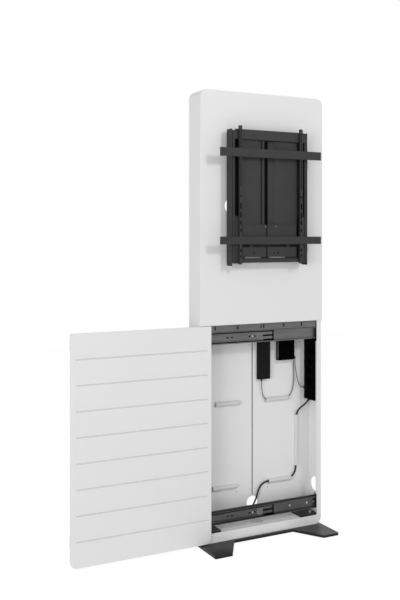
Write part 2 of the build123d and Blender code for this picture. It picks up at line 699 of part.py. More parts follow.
# Screws of both carriers into the side walls, and flush screws of the outer slide members
with BuildPart() as slide_rail_screws:
    for side in (-1, 1):
        for height in RAIL_SCREW_HEIGHTS:
            inner = side * (WALL - 2)
            crossbar((RAIL_SCREW_Y, height), 3.5, sorted((inner - side * 2.2, inner)))
            crossbar((RAIL_SCREW_Y, height), 2, sorted((inner, inner + side * 3.6)))
    for height in SLIDE_HEIGHTS:
        for x in SLIDE_SCREWS[height]:
            rod((x, height), 4, (29.4, 30.4))
            rod((x, height), 2.5, (30.4, 36))
save(slide_rail_screws, "slide_rail_screws")

# Telescopic slides: three nested channels with two ball cages each
OUTER_CENTRE = 0
MIDDLE_CENTRE = -DOOR_TRAVEL / 2
INNER_CENTRE = -DOOR_TRAVEL
OUTER_CAGE_CENTRE = -DOOR_TRAVEL / 4
INNER_CAGE_CENTRE = -DOOR_TRAVEL * 3 / 4
OUTER_WEB = (31 - SLIDE_STEEL, 31)
OUTER_REACH = 16
MIDDLE_WEB = (25.2, 27)
MIDDLE_REACH = 17
INNER_WEB = (16, 17.8)
INNER_REACH = 23.5
BALL_STEP = 2 * (BALL_RADIUS + BALL_GAP)
MIDDLE_HALF_HEIGHT = SLIDE_HALF_HEIGHT - SLIDE_STEEL - BALL_STEP
INNER_HALF_HEIGHT = MIDDLE_HALF_HEIGHT - SLIDE_STEEL - BALL_STEP


def channel(centre, height, half_height, web, reach):
    """A slide member: a web across Y with two flanges that run from it to the reach."""
    x = (centre - SLIDE_LENGTH / 2, centre + SLIDE_LENGTH / 2)
    block(x, web, (height - half_height, height + half_height))
    flange = (min(web[0], reach), max(web[1], reach))
    block(x, flange, (height + half_height - SLIDE_STEEL, height + half_height))
    block(x, flange, (height - half_height, height - half_height + SLIDE_STEEL))


with BuildPart() as outer_slide_members:
    for height in SLIDE_HEIGHTS:
        channel(OUTER_CENTRE, height, SLIDE_HALF_HEIGHT, OUTER_WEB, OUTER_REACH)
        for x in SLIDE_SCREWS[height]:
            rod((x, height), 2.6, (25, 35), Mode.SUBTRACT)
            rod((x, height), 4.1, (25, 30.4), Mode.SUBTRACT)
save(outer_slide_members, "outer_slide_members")

# Holes in the middle members, from their centre
MIDDLE_HOLES = (-270, -150, 126, 149, 244, 272)
INNER_HOLES = (-280, -100, 100, 280)
with BuildPart() as middle_slide_members:
    for height in SLIDE_HEIGHTS:
        channel(MIDDLE_CENTRE, height, MIDDLE_HALF_HEIGHT, MIDDLE_WEB, MIDDLE_REACH)
        for x in MIDDLE_HOLES:
            with BuildSketch(front_plane(40)):
                with Locations((MIDDLE_CENTRE + x, height)):
                    SlotCenterToCenter(2, 8.5)
            extrude(amount=20, mode=Mode.SUBTRACT)
save(middle_slide_members, "middle_slide_members")

with BuildPart() as inner_slide_members:
    for height in SLIDE_HEIGHTS:
        channel(INNER_CENTRE, height, INNER_HALF_HEIGHT, INNER_WEB, INNER_REACH)
        for x in INNER_HOLES:
            rod((INNER_CENTRE + x, height), 2.6, (10, 20), Mode.SUBTRACT)
save(inner_slide_members, "inner_slide_members")

# Plastic end plates of the middle members, behind the flanges of the inner members
BUMPER_LENGTH = 30
BUMPER_HEIGHT = 30
BUMPER_FRONT = 23.9
with BuildPart() as slide_bumpers:
    for height in SLIDE_HEIGHTS:
        end = MIDDLE_CENTRE + SLIDE_LENGTH / 2
        block(
            (end - BUMPER_LENGTH, end),
            (BUMPER_FRONT, MIDDLE_WEB[0]),
            (height - BUMPER_HEIGHT / 2, height + BUMPER_HEIGHT / 2),
        )
save(slide_bumpers, "slide_bumpers")

CAGE_BAND = 3.5
CAGE_WINDOW = 28
CAGE_END = 6


def cage(centre, length, height, web, ball_row, balls_y, thickness):
    """A ball cage: two strips that hold the balls in round pockets, joined by a pierced web."""
    x = (centre - length / 2, centre + length / 2)
    block(x, web, (height - ball_row - thickness / 2, height + ball_row + thickness / 2))
    for row in (height - ball_row, height + ball_row):
        block(x, (balls_y - 4, web[0]), (row - thickness / 2, row + thickness / 2))
    inside = ball_row - thickness / 2 - 4
    pitch = (length / 2 - CAGE_END - CAGE_WINDOW) / 3
    for window in range(-3, 4):
        place = centre + window * pitch
        cut = (web[0] - 1, web[1] + 1)
        for rise in ((CAGE_BAND, inside), (-inside, -CAGE_BAND)):
            opening = (height + rise[0], height + rise[1])
            block((place - CAGE_WINDOW, place + CAGE_WINDOW), cut, opening, Mode.SUBTRACT)


def ball_places(centre, length, count):
    """X of each ball of one row, with a margin of a pitch and a half at both ends."""
    pitch = length / (count + 2)
    return [centre + (index - (count - 1) / 2) * pitch for index in range(count)]


def balls(places, y, rows):
    """Round pockets through both strips of the running cage, with a loose ball in each."""
    for x in places:
        for row in rows:
            upright((x, y), BALL_RADIUS + 0.05, (row - 2, row + 2), Mode.SUBTRACT)
            with Locations((x, y, row)):
                Sphere(BALL_RADIUS)


OUTER_BALL_ROW = SLIDE_HALF_HEIGHT - SLIDE_STEEL - BALL_GAP - BALL_RADIUS
INNER_BALL_ROW = MIDDLE_HALF_HEIGHT - SLIDE_STEEL - BALL_GAP - BALL_RADIUS
OUTER_BALL_Y = 22
INNER_BALL_Y = 20.8
OUTER_CAGE_WEB = (27.6, 28.6)
INNER_CAGE_WEB = (23.9, 24.8)
OUTER_BALLS = 10
INNER_BALLS = 11

with BuildPart() as outer_ball_cages:
    for height in SLIDE_HEIGHTS:
        cage(
            OUTER_CAGE_CENTRE,
            OUTER_CAGE_LENGTH,
            height,
            OUTER_CAGE_WEB,
            OUTER_BALL_ROW,
            OUTER_BALL_Y,
            1.4,
        )
        places = ball_places(OUTER_CAGE_CENTRE, OUTER_CAGE_LENGTH, OUTER_BALLS)
        balls(places, OUTER_BALL_Y, (height - OUTER_BALL_ROW, height + OUTER_BALL_ROW))
save(outer_ball_cages, "outer_ball_cages")

with BuildPart() as inner_ball_cages:
    for height in SLIDE_HEIGHTS:
        cage(
            INNER_CAGE_CENTRE,
            INNER_CAGE_LENGTH,
            height,
            INNER_CAGE_WEB,
            INNER_BALL_ROW,
            INNER_BALL_Y,
            1.2,
        )
        places = ball_places(INNER_CAGE_CENTRE, INNER_CAGE_LENGTH, INNER_BALLS)
        balls(places, INNER_BALL_Y, (height - INNER_BALL_ROW, height + INNER_BALL_ROW))
save(inner_ball_cages, "inner_ball_cages")

# Sliding door, a planked panel
DOOR_LEFT = -HALF_WIDTH - DOOR_TRAVEL
DOOR_RIGHT = HALF_WIDTH - DOOR_TRAVEL
PLANK_HEIGHT = DOOR_HEIGHT / PLANKS
with BuildPart() as door_panel:
    with BuildSketch(front_plane(DOOR_THICKNESS)) as outline:
        with Locations(((DOOR_LEFT + DOOR_RIGHT) / 2, (DOOR_BOTTOM + DOOR_TOP) / 2)):
            Rectangle(COLUMN_WIDTH, DOOR_HEIGHT)
        fillet(outline.vertices().group_by(Axis.Y)[0], radius=30)
    extrude(amount=DOOR_THICKNESS)
    fillet(door_panel.faces().sort_by(Axis.Y)[0].outer_wire().edges(), radius=1)
    for groove in range(1, PLANKS):
        z = DOOR_BOTTOM + groove * PLANK_HEIGHT
        with BuildSketch(side_plane(DOOR_LEFT + GROOVE_INSET)):
            with BuildLine():
                Polyline(
                    (-1, z + GROOVE_WIDTH / 2),
                    (0, z + GROOVE_WIDTH / 2),
                    (GROOVE_DEPTH, z + 1),
                    (GROOVE_DEPTH, z - 1),
                    (0, z - GROOVE_WIDTH / 2),
                    (-1, z - GROOVE_WIDTH / 2),
                    close=True,
                )
            make_face()
        extrude(amount=COLUMN_WIDTH - GROOVE_INSET - 20, mode=Mode.SUBTRACT)
    for height in SLIDE_HEIGHTS:
        for x in INNER_HOLES:
            rod((INNER_CENTRE + x, height), 2.6, (5, 12), Mode.SUBTRACT)
save(door_panel, "door_panel")

# Hanger bars between the door and the inner slide members
HANGER_X = (DOOR_LEFT, DOOR_RIGHT - 36)
with BuildPart() as door_hangers:
    for height in SLIDE_HEIGHTS:
        middle = height + HANGER_RISE
        span = (middle - HANGER_HALF_HEIGHT, middle + HANGER_HALF_HEIGHT)
        block(HANGER_X, (DOOR_THICKNESS, INNER_WEB[0]), span)
        for x in INNER_HOLES:
            rod((INNER_CENTRE + x, height), 2.6, (5, 20), Mode.SUBTRACT)
save(door_hangers, "door_hangers")

with BuildPart() as door_screws:
    for height in SLIDE_HEIGHTS:
        for x in INNER_HOLES:
            screw(INNER_CENTRE + x, height, INNER_WEB[1], -12, 4, 1.8, 2.5)
save(door_screws, "door_screws")

# Channels behind the front cover that take the load of the lift into the side flanges
CHANNEL_HEIGHTS = (1308, 1882)
CHANNEL_HALF_HEIGHT = 20
CHANNEL_FRONT = BODY_FRONT + SHEET
CHANNEL_BACK = 40
CHANNEL_STEEL = 3
with BuildPart() as reinforcement_channels:
    for height in CHANNEL_HEIGHTS:
        span = (-RAIL_HALF_LENGTH, RAIL_HALF_LENGTH)
        low = height - CHANNEL_HALF_HEIGHT
        high = height + CHANNEL_HALF_HEIGHT
        block(span, (CHANNEL_FRONT, CHANNEL_FRONT + CHANNEL_STEEL), (low, high))
        block(span, (CHANNEL_FRONT, CHANNEL_BACK), (low, low + CHANNEL_STEEL))
        block(span, (CHANNEL_FRONT, CHANNEL_BACK), (high - CHANNEL_STEEL, high))
    for x, z in LIFT_BOLTS:
        rod((x, z), 4.1, (10, 20), Mode.SUBTRACT)
save(reinforcement_channels, "reinforcement_channels")

# Lift: back plate with its two guide channels
PLATE_BACK_FACE = LIFT_BACK
PLATE_FRONT_FACE = LIFT_BACK - LIFT_STEEL
PLATE_NOTCH_X = (22, 112)
PLATE_NOTCH_TOP = 1322
CHEEK_X = (LIFT_HALF_WIDTH - 2, LIFT_HALF_WIDTH)
RAIL_X = (LIFT_HALF_WIDTH - 15.5, LIFT_HALF_WIDTH - 4.5)
RAIL_STEEL = 1.5
GUIDE_TOP = LIFT_TOP - 7
with BuildPart() as lift_back_plate:
    block(
        (-CHEEK_X[0], CHEEK_X[0]),
        (PLATE_FRONT_FACE, PLATE_BACK_FACE),
        (LIFT_BOTTOM, GUIDE_TOP),
    )
    for x, z in LIFT_BOLTS:
        rod((x, z), 4.1, (-30, -10), Mode.SUBTRACT)
    for side in (-1, 1):
        rod((side * DRUM_X, DRUM_Z), 5.05, (-30, -10), Mode.SUBTRACT)
    for span in both_sides(PLATE_NOTCH_X):
        block(span, (-30, -10), (LIFT_BOTTOM - 1, PLATE_NOTCH_TOP), Mode.SUBTRACT)
save(lift_back_plate, "lift_back_plate")

# Side cheeks of the lift, and inside each a rail that guides two rollers
with BuildPart() as lift_guides:
    for side in (-1, 1):
        cheek = sorted((side * CHEEK_X[0], side * CHEEK_X[1]))
        with BuildSketch(side_plane(cheek[0])) as wall:
            with Locations(((LIFT_FRONT + LIFT_BACK) / 2, (GUIDE_BOTTOM + LIFT_TOP) / 2)):
                Rectangle(LIFT_BACK - LIFT_FRONT, LIFT_TOP - GUIDE_BOTTOM)
            fillet(wall.vertices().group_by(Axis.X)[-1], radius=5)
        extrude(amount=CHEEK_X[1] - CHEEK_X[0])
        web = sorted((side * (RAIL_X[1] - RAIL_STEEL), side * RAIL_X[1]))
        lip = sorted((side * RAIL_X[0], side * RAIL_X[1]))
        height = (LIFT_BOTTOM, GUIDE_TOP)
        block(web, (LIFT_FRONT, PLATE_FRONT_FACE), height)
        block(lip, (LIFT_FRONT, LIFT_FRONT + LIFT_STEEL), height)
save(lift_guides, "lift_guides")

# Spacers and bolts that carry the lift in front of the cover
with BuildPart() as lift_standoffs:
    for x, z in LIFT_BOLTS:
        rod((x, z), 12, (PLATE_BACK_FACE, CHANNEL_FRONT))
        rod((x, z), 4.1, (-30, 30), Mode.SUBTRACT)
save(lift_standoffs, "lift_standoffs")

with BuildPart() as lift_bolts:
    for x, z in LIFT_BOLTS:
        rod((x, z), 6.5, (PLATE_FRONT_FACE - 4, PLATE_FRONT_FACE))
        rod((x, z), 4, (PLATE_FRONT_FACE, 26))
        with BuildSketch(front_plane(PLATE_FRONT_FACE - 2)):
            with Locations((x, z)):
                RegularPolygon(radius=3, side_count=6)
        extrude(amount=10, mode=Mode.SUBTRACT)
    for x, z in LIFT_BOLTS:
        with BuildSketch(front_plane(CHANNEL_FRONT + CHANNEL_STEEL + 6.5)):
            with Locations((x, z)):
                RegularPolygon(radius=7.5, side_count=6)
                Circle(4.05, mode=Mode.SUBTRACT)
        extrude(amount=6.5)
save(lift_bolts, "lift_bolts")

# Cross plates of the lift, with folded lips
BOTTOM_BAR_HALF = 156
BOTTOM_BAR_Z = (1294.5, 1315.5)
BOTTOM_BAR_FACE = (1303.5, 1309)
BOTTOM_BAR_BEND = 6
with BuildPart() as lift_cross_plates:
    top_span = RAIL_X[0] - 0.5
    with BuildSketch(front_plane(LIFT_FRONT + LIFT_STEEL)) as face:
        with Locations((0, (TOP_PLATE_BOTTOM + LIFT_TOP) / 2)):
            Rectangle(2 * top_span, LIFT_TOP - TOP_PLATE_BOTTOM)
        fillet(face.vertices().group_by(Axis.Y)[-1], radius=8)
        with Locations((69, 1880), (91, 1880), (-69, 1880), (-91, 1880)):
            Circle(2.5, mode=Mode.SUBTRACT)
    extrude(amount=LIFT_STEEL)
    block(
        (-top_span, top_span),
        (LIFT_FRONT, LIFT_FRONT + 14),
        (TOP_PLATE_BOTTOM, TOP_PLATE_BOTTOM + LIFT_STEEL),
    )
    for side in both_sides((140, 142.5)):
        block(side, (LIFT_FRONT, PLATE_FRONT_FACE), (TOP_PLATE_BOTTOM + 12, GUIDE_TOP - 4))
    with BuildSketch(side_plane(-BOTTOM_BAR_HALF)):
        with BuildLine() as fold:
            Polyline(
                (LIFT_FRONT + BOTTOM_BAR_BEND, BOTTOM_BAR_Z[0]),
                (LIFT_FRONT, BOTTOM_BAR_FACE[0]),
                (LIFT_FRONT, BOTTOM_BAR_FACE[1]),
                (LIFT_FRONT + BOTTOM_BAR_BEND, BOTTOM_BAR_Z[1]),
            )
            offset(amount=LIFT_STEEL, side=Side.RIGHT, kind=Kind.INTERSECTION)
        make_face()
    extrude(amount=2 * BOTTOM_BAR_HALF)
    for side in both_sides((118, 120.5)):
        block(side, (LIFT_FRONT + 2, PLATE_FRONT_FACE), (BOTTOM_BAR_FACE[0], BOTTOM_BAR_FACE[1]))
save(lift_cross_plates, "lift_cross_plates")

# Fixed covers over the balancing springs
COVER_FRONT = -50
COVER_RECESS = -40
COVER_GROOVE = -43
COVER_STEEL = 1.5
COVER_Z = (1470, 1857)
COVER_HALF_WIDTH = 154
COVER_SIDE_BACK = -38.5
COVER_GAP = (-27, -2.5)
LEFT_COVER = (
    (-COVER_HALF_WIDTH, COVER_SIDE_BACK),
    (-COVER_HALF_WIDTH, COVER_FRONT),
    (-52.5, COVER_FRONT),
    (-51.5, COVER_GROOVE),
    (-39, COVER_GROOVE),
    (-38, COVER_FRONT),
    (COVER_GAP[0], COVER_FRONT),
    (COVER_GAP[0], COVER_SIDE_BACK),
)
RIGHT_COVER = (
    (COVER_GAP[1], COVER_RECESS + 3),
    (COVER_GAP[1], COVER_RECESS),
    (34, COVER_RECESS),
    (50, COVER_FRONT),
    (COVER_HALF_WIDTH, COVER_FRONT),
    (COVER_HALF_WIDTH, COVER_SIDE_BACK),
)
with BuildPart() as lift_covers:
    for bends in (LEFT_COVER, RIGHT_COVER):
        with BuildSketch(Plane.XY.offset(COVER_Z[0])):
            with BuildLine() as fold:
                Polyline(*bends)
                offset(amount=COVER_STEEL, side=Side.LEFT, kind=Kind.INTERSECTION)
            make_face()
        extrude(amount=COVER_Z[1] - COVER_Z[0])
    block(
        (-COVER_HALF_WIDTH, COVER_GAP[0]),
        (COVER_FRONT, PLATE_FRONT_FACE),
        (COVER_Z[1], COVER_Z[1] + COVER_STEEL),
    )
    top_corners = ((COVER_HALF_WIDTH, PLATE_FRONT_FACE), (COVER_GAP[1], PLATE_FRONT_FACE))
    with BuildSketch(Plane.XY.offset(COVER_Z[1])):
        with BuildLine():
            Polyline(*RIGHT_COVER[1:5], *top_corners, close=True)
        make_face()
    extrude(amount=COVER_STEEL)
    for side in both_sides((70, 120)):
        block(side, (PLATE_FRONT_FACE - COVER_STEEL, PLATE_FRONT_FACE), (COVER_Z[1] - 12, COVER_Z[1]))
save(lift_covers, "lift_covers")

# Constant-force springs: fixed axles, spools with wound coils and the free strips
COIL_SPAN = (-37.5, -23)
DRUM_BORE = 7.05
HUB_RADIUS = 14
SPRING_RADIUS = 38
STRIP_THICKNESS = 0.5
STRIP_END = 1405
with BuildPart() as drum_axles:
    for side in (-1, 1):
        rod((side * DRUM_X, DRUM_Z), 7, (COIL_SPAN[0] - 0.7, PLATE_FRONT_FACE))
        rod((side * DRUM_X, DRUM_Z), 5, (PLATE_FRONT_FACE, PLATE_BACK_FACE))
        rod((side * DRUM_X, DRUM_Z), 8, (PLATE_BACK_FACE, PLATE_BACK_FACE + 3))
        rod((side * DRUM_X, DRUM_Z), 10, (COIL_SPAN[0] - 2.2, COIL_SPAN[0] - 0.7))
save(drum_axles, "drum_axles")

for side, name in ((-1, "left"), (1, "right")):
    with BuildPart() as spring_drum:
        rod((side * DRUM_X, DRUM_Z), HUB_RADIUS, COIL_SPAN)
        rod((side * DRUM_X, DRUM_Z), DRUM_BORE, (-60, 0), Mode.SUBTRACT)
        with BuildSketch(front_plane(COIL_SPAN[1] - 0.5)) as coil:
            with Locations((side * DRUM_X, DRUM_Z)):
                Circle(SPRING_RADIUS)
                Circle(HUB_RADIUS + 0.05, mode=Mode.SUBTRACT)
        extrude(coil.sketch, amount=COIL_SPAN[1] - COIL_SPAN[0] - 1)
    save(spring_drum, f"{name}_spring_drum")

STRIP_OUTER = DRUM_X - SPRING_RADIUS - 0.3
with BuildPart() as spring_strips:
    for x in both_sides((STRIP_OUTER - STRIP_THICKNESS, STRIP_OUTER)):
        block(x, (COIL_SPAN[0] + 0.5, COIL_SPAN[1] - 0.5), (STRIP_END, DRUM_Z))
save(spring_strips, "spring_strips")

# Carriage: bridge, brackets and front plates
BRACKET_WEB = (184, 187)
BRACKET_Z = (1292, 1508)
BRACKET_FACE = (158, 187)
ARM_BACK = LIFT_FRONT - 0.5
ARM_STEEL = 2
ROLLER_HEIGHTS = (1314, 1486)
ROLLER_RADIUS = 21.2
ROLLER_Y = -36
ROLLER_X = (188.5, 196.5)
AXLE_RADIUS = 6
BRIDGE_Z = (1330, STRIP_END)
BRIDGE_FRONT = -36
ARM_BOLT_HEIGHTS = (1325, 1478)
with BuildPart() as carriage_brackets:
    for side in (-1, 1):
        web = sorted((side * BRACKET_WEB[0], side * BRACKET_WEB[1]))
        face = sorted((side * BRACKET_FACE[0], side * BRACKET_FACE[1]))
        block(web, (ARM_BACK, -23), BRACKET_Z)
        block(face, (ARM_BACK, ARM_BACK + 2.5), BRACKET_Z)
        for height in ROLLER_HEIGHTS:
            crossbar((ROLLER_Y, height), AXLE_RADIUS + 0.05, (web[0] - 1, web[1] + 1), Mode.SUBTRACT)
        for height in ARM_BOLT_HEIGHTS:
            rod((side * ARM_X, height), 2.6, (ARM_BACK - 1, ARM_BACK + 4), Mode.SUBTRACT)
save(carriage_brackets, "carriage_brackets")

with BuildPart() as roller_axles:
    for side in (-1, 1):
        for height in ROLLER_HEIGHTS:
            crossbar((ROLLER_Y, height), AXLE_RADIUS, sorted((side * 183, side * 197.6)))
            crossbar((ROLLER_Y, height), 9, sorted((side * 181, side * 184)))
            crossbar((ROLLER_Y, height), 9, sorted((side * 187, side * 188.3)))
            with BuildSketch(side_plane(side * 197.15)) as clip:
                with Locations((ROLLER_Y, height)):
                    Circle(9)
                    Circle(AXLE_RADIUS + 0.05, mode=Mode.SUBTRACT)
            extrude(clip.sketch, amount=0.45, both=True)
save(roller_axles, "roller_axles")

ROLLER_PLACES = {
    "lower_left": (-1, ROLLER_HEIGHTS[0]),
    "lower_right": (1, ROLLER_HEIGHTS[0]),
    "upper_left": (-1, ROLLER_HEIGHTS[1]),
    "upper_right": (1, ROLLER_HEIGHTS[1]),
}
for name, (side, height) in ROLLER_PLACES.items():
    with BuildPart() as guide_roller:
        crossbar((ROLLER_Y, height), ROLLER_RADIUS, sorted((side * ROLLER_X[0], side * ROLLER_X[1])))
        fillet(guide_roller.edges(), radius=1)
        crossbar((ROLLER_Y, height), AXLE_RADIUS + 0.05, sorted((side * 188, side * 198)), Mode.SUBTRACT)
    save(guide_roller, f"{name}_guide_roller")

with BuildPart() as carriage_bridge:
    bridge_span = (-BRACKET_WEB[0], BRACKET_WEB[0])
    block(bridge_span, (BRIDGE_FRONT, BRIDGE_FRONT + 2.5), BRIDGE_Z)
    block(bridge_span, (BRIDGE_FRONT, -24), (BRIDGE_Z[0], BRIDGE_Z[0] + 2.5))
    block(bridge_span, (BRIDGE_FRONT, -24), (BRIDGE_Z[1] - 2.5, BRIDGE_Z[1]))
save(carriage_bridge, "carriage_bridge")

PLATE_Y = (-56, -54)
PLATE_OUTER = 147
FLANGE_X = (155, 157)
UPPER_PLATE_Z = (1381, 1470)
LOWER_PLATE_Z = (1320, 1366)
TAB_Z = (1384, 1403)
STRAP_Z = (1345, 1400)
KNOBS = (-26, 29)
KNOB_HEIGHT = 1461
LOWER_HOLES = (-85, 23, 45)
with BuildPart() as carriage_plates:
    for inner, side in ((-20, -1), (-14, 1)):
        x = sorted((inner, side * PLATE_OUTER))
        block(x, PLATE_Y, UPPER_PLATE_Z)
        block(x, PLATE_Y, LOWER_PLATE_Z)
        strap = sorted((side * 92, side * 108))
        block(strap, (PLATE_Y[1], PLATE_Y[1] + 1.5), STRAP_Z)
        block(sorted((side * PLATE_OUTER, side * FLANGE_X[1])), PLATE_Y, TAB_Z)
        block(sorted((side * FLANGE_X[0], side * FLANGE_X[1])), (PLATE_Y[1], BRIDGE_FRONT), TAB_Z)
    for x in KNOBS:
        rod((x, KNOB_HEIGHT), 3.2, (-60, -50), Mode.SUBTRACT)
    for x in LOWER_HOLES:
        rod((x, 1338), 3.8, (-60, -50), Mode.SUBTRACT)
save(carriage_plates, "carriage_plates")

with BuildPart() as carriage_screws:
    for x in KNOBS:
        screw(x, KNOB_HEIGHT, PLATE_Y[0], 5, 6, 4.5, 3)
save(carriage_screws, "carriage_screws")

# Two perforated arms
SLOT_PITCH = 12
SHORT_SLOT_TOP = ARM_TOP - 23
SHORT_SLOTS = 22
LONG_SLOTS = ((1600, 10), (1554, 30), (1513, 30), (1478, 20), (1443, 14), (1351, 14), (1325, 10))
SLOT_WIDTH = 7.4
with BuildPart() as perforated_arms:
    for side in (-1, 1):
        x = (side * ARM_X - ARM_WIDTH / 2, side * ARM_X + ARM_WIDTH / 2)
        block(x, (ARM_BACK - ARM_DEPTH, ARM_BACK), (ARM_BOTTOM, ARM_TOP))
        block(
            (x[0] + ARM_STEEL, x[1] - ARM_STEEL),
            (ARM_BACK - ARM_DEPTH + ARM_STEEL, ARM_BACK - ARM_STEEL),
            (ARM_BOTTOM - 1, ARM_TOP + 1),
            Mode.SUBTRACT,
        )
        slots = [(SHORT_SLOT_TOP - index * SLOT_PITCH, 7.6) for index in range(SHORT_SLOTS)]
        with BuildSketch(front_plane(ARM_BACK - ARM_DEPTH + 4)):
            for z, height in (*slots, *LONG_SLOTS):
                with Locations((side * ARM_X, z)):
                    SlotOverall(height, SLOT_WIDTH, rotation=90)
        extrude(amount=20, mode=Mode.SUBTRACT)
        for height, _ in BARS:
            rod((side * ARM_X, height), 3.1, (-75, -65), Mode.SUBTRACT)
        for height in ARM_BOLT_HEIGHTS:
            rod((side * ARM_X, height), 2.6, (ARM_BACK - 3, ARM_BACK + 1), Mode.SUBTRACT)
save(perforated_arms, "perforated_arms")

# Two hanging bars for the screen, with countersunk screws into nuts inside the arms, and the
# screws that hold the arms to the brackets
BAR_FRONT = ARM_BACK - ARM_DEPTH - BAR_THICKNESS
with BuildPart() as hanging_bars:
    for middle, height in BARS:
        block(
            (-BAR_HALF_LENGTH, BAR_HALF_LENGTH),
            (BAR_FRONT, BAR_FRONT + BAR_THICKNESS),
            (middle - height / 2, middle + height / 2),
        )
    for height, _ in BARS:
        for x in (-ARM_X, ARM_X):
            rod((x, height), 3.1, (-80, -70), Mode.SUBTRACT)
            rod((x, height), 5.6, (-80, BAR_FRONT + 2), Mode.SUBTRACT)
save(hanging_bars, "hanging_bars")

with BuildPart() as bar_screws:
    for height, _ in BARS:
        for x in (-ARM_X, ARM_X):
            rod((x, height), 5.5, (BAR_FRONT + 0.3, BAR_FRONT + 2))
            rod((x, height), 3, (BAR_FRONT + 2, ARM_BACK - 4))
            with BuildSketch(front_plane(ARM_BACK - 5)) as nut:
                with Locations((x, height)):
                    Rectangle(8.8, 12)
                    Circle(3.05, mode=Mode.SUBTRACT)
            extrude(nut.sketch, amount=ARM_DEPTH - ARM_STEEL - 5)
    for side in (-1, 1):
        for height in ARM_BOLT_HEIGHTS:
            screw(side * ARM_X, height, ARM_BACK - ARM_STEEL, 8, 2.9, 2, 2.5)
save(bar_screws, "bar_screws")
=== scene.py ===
import json
import math

import bpy
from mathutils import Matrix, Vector


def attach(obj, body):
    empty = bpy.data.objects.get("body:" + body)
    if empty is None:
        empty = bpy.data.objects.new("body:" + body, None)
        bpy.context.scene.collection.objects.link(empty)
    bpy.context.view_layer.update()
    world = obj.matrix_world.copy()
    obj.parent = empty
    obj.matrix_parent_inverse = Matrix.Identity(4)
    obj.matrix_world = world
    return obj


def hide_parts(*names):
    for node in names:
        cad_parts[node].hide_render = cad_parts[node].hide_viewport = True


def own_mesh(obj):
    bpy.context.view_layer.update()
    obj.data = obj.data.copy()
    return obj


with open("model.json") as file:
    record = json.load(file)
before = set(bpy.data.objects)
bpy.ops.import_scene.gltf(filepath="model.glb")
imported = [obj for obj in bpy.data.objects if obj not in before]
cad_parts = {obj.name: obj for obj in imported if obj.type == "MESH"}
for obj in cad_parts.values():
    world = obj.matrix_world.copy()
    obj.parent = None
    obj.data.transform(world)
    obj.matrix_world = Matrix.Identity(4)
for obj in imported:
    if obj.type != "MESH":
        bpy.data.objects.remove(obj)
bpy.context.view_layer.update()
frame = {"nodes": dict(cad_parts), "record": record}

scene = bpy.context.scene
nodes = frame["nodes"]


# Camera, set where the photograph was taken from: level, to the left of the stand
IMAGE_HEIGHT = 600
FOCAL_PIXELS = 838.4
HORIZON_ROW = 237.5
FARTHEST_SEEN = 60
SENSOR_HEIGHT = 24
CAMERA_PLACE = Vector((-2.0645, -3.3765, 1.4103))
CAMERA_YAW = math.radians(-27.1)


def place_camera():
    """A level camera turned to the right, with the horizon above the frame's middle."""
    lens = bpy.data.cameras.new("camera")
    lens.sensor_fit = "VERTICAL"
    lens.sensor_height = SENSOR_HEIGHT
    lens.lens = FOCAL_PIXELS * SENSOR_HEIGHT / IMAGE_HEIGHT
    lens.shift_y = (HORIZON_ROW - IMAGE_HEIGHT / 2) / IMAGE_HEIGHT
    lens.clip_end = FARTHEST_SEEN
    camera = bpy.data.objects.new("camera", lens)
    camera.location = CAMERA_PLACE
    camera.rotation_euler = (math.radians(90), 0, CAMERA_YAW)
    scene.collection.objects.link(camera)
    scene.camera = camera


# Shader node groups: each makes one effect of a surface and is built once
def new_group(name, inputs, outputs):
    """A shader node group with these sockets, and its input and output nodes."""
    tree = bpy.data.node_groups.new(name, "ShaderNodeTree")
    for label, kind, value in inputs:
        socket = tree.interface.new_socket(label, in_out="INPUT", socket_type=kind)
        if value is not None:
            socket.default_value = value
    for label, kind in outputs:
        tree.interface.new_socket(label, in_out="OUTPUT", socket_type=kind)
    return tree, tree.nodes.new("NodeGroupInput"), tree.nodes.new("NodeGroupOutput")


def noise(tree, vector, scale, detail=2.0, roughness=0.5):
    """A noise texture; scale is a socket or a number."""
    texture = tree.nodes.new("ShaderNodeTexNoise")
    texture.inputs["Detail"].default_value = detail
    texture.inputs["Roughness"].default_value = roughness
    tree.links.new(vector, texture.inputs["Vector"])
    if isinstance(scale, (int, float)):
        texture.inputs["Scale"].default_value = scale
    else:
        tree.links.new(scale, texture.inputs["Scale"])
    return texture.outputs["Fac"]


def sums(tree, operation, *values):
    """A math node on sockets or numbers."""
    node = tree.nodes.new("ShaderNodeMath")
    node.operation = operation
    for socket, value in zip(node.inputs, values):
        if isinstance(value, (int, float)):
            socket.default_value = value
        else:
            tree.links.new(value, socket)
    return node.outputs[0]


def spread(tree, value, low, high, to_low=0.0, to_high=1.0):
    """Maps low..high of a value to a new range, held at both ends."""
    node = tree.nodes.new("ShaderNodeMapRange")
    tree.links.new(value, node.inputs["Value"])
    for label, number in (("From Min", low), ("From Max", high), ("To Min", to_low), ("To Max", to_high)):
        if isinstance(number, (int, float)):
            node.inputs[label].default_value = number
        else:
            tree.links.new(number, node.inputs[label])
    return node.outputs["Result"]


def blend_colours(tree, factor, first, second, mode="MIX"):
    """Mixes two colours by a factor, each a socket or a colour."""
    node = tree.nodes.new("ShaderNodeMix")
    node.data_type = "RGBA"
    node.blend_type = mode
    for index, value in ((0, factor), (6, first), (7, second)):
        if isinstance(value, bpy.types.NodeSocket):
            tree.links.new(value, node.inputs[index])
        else:
            node.inputs[index].default_value = value
    return node.outputs[2]


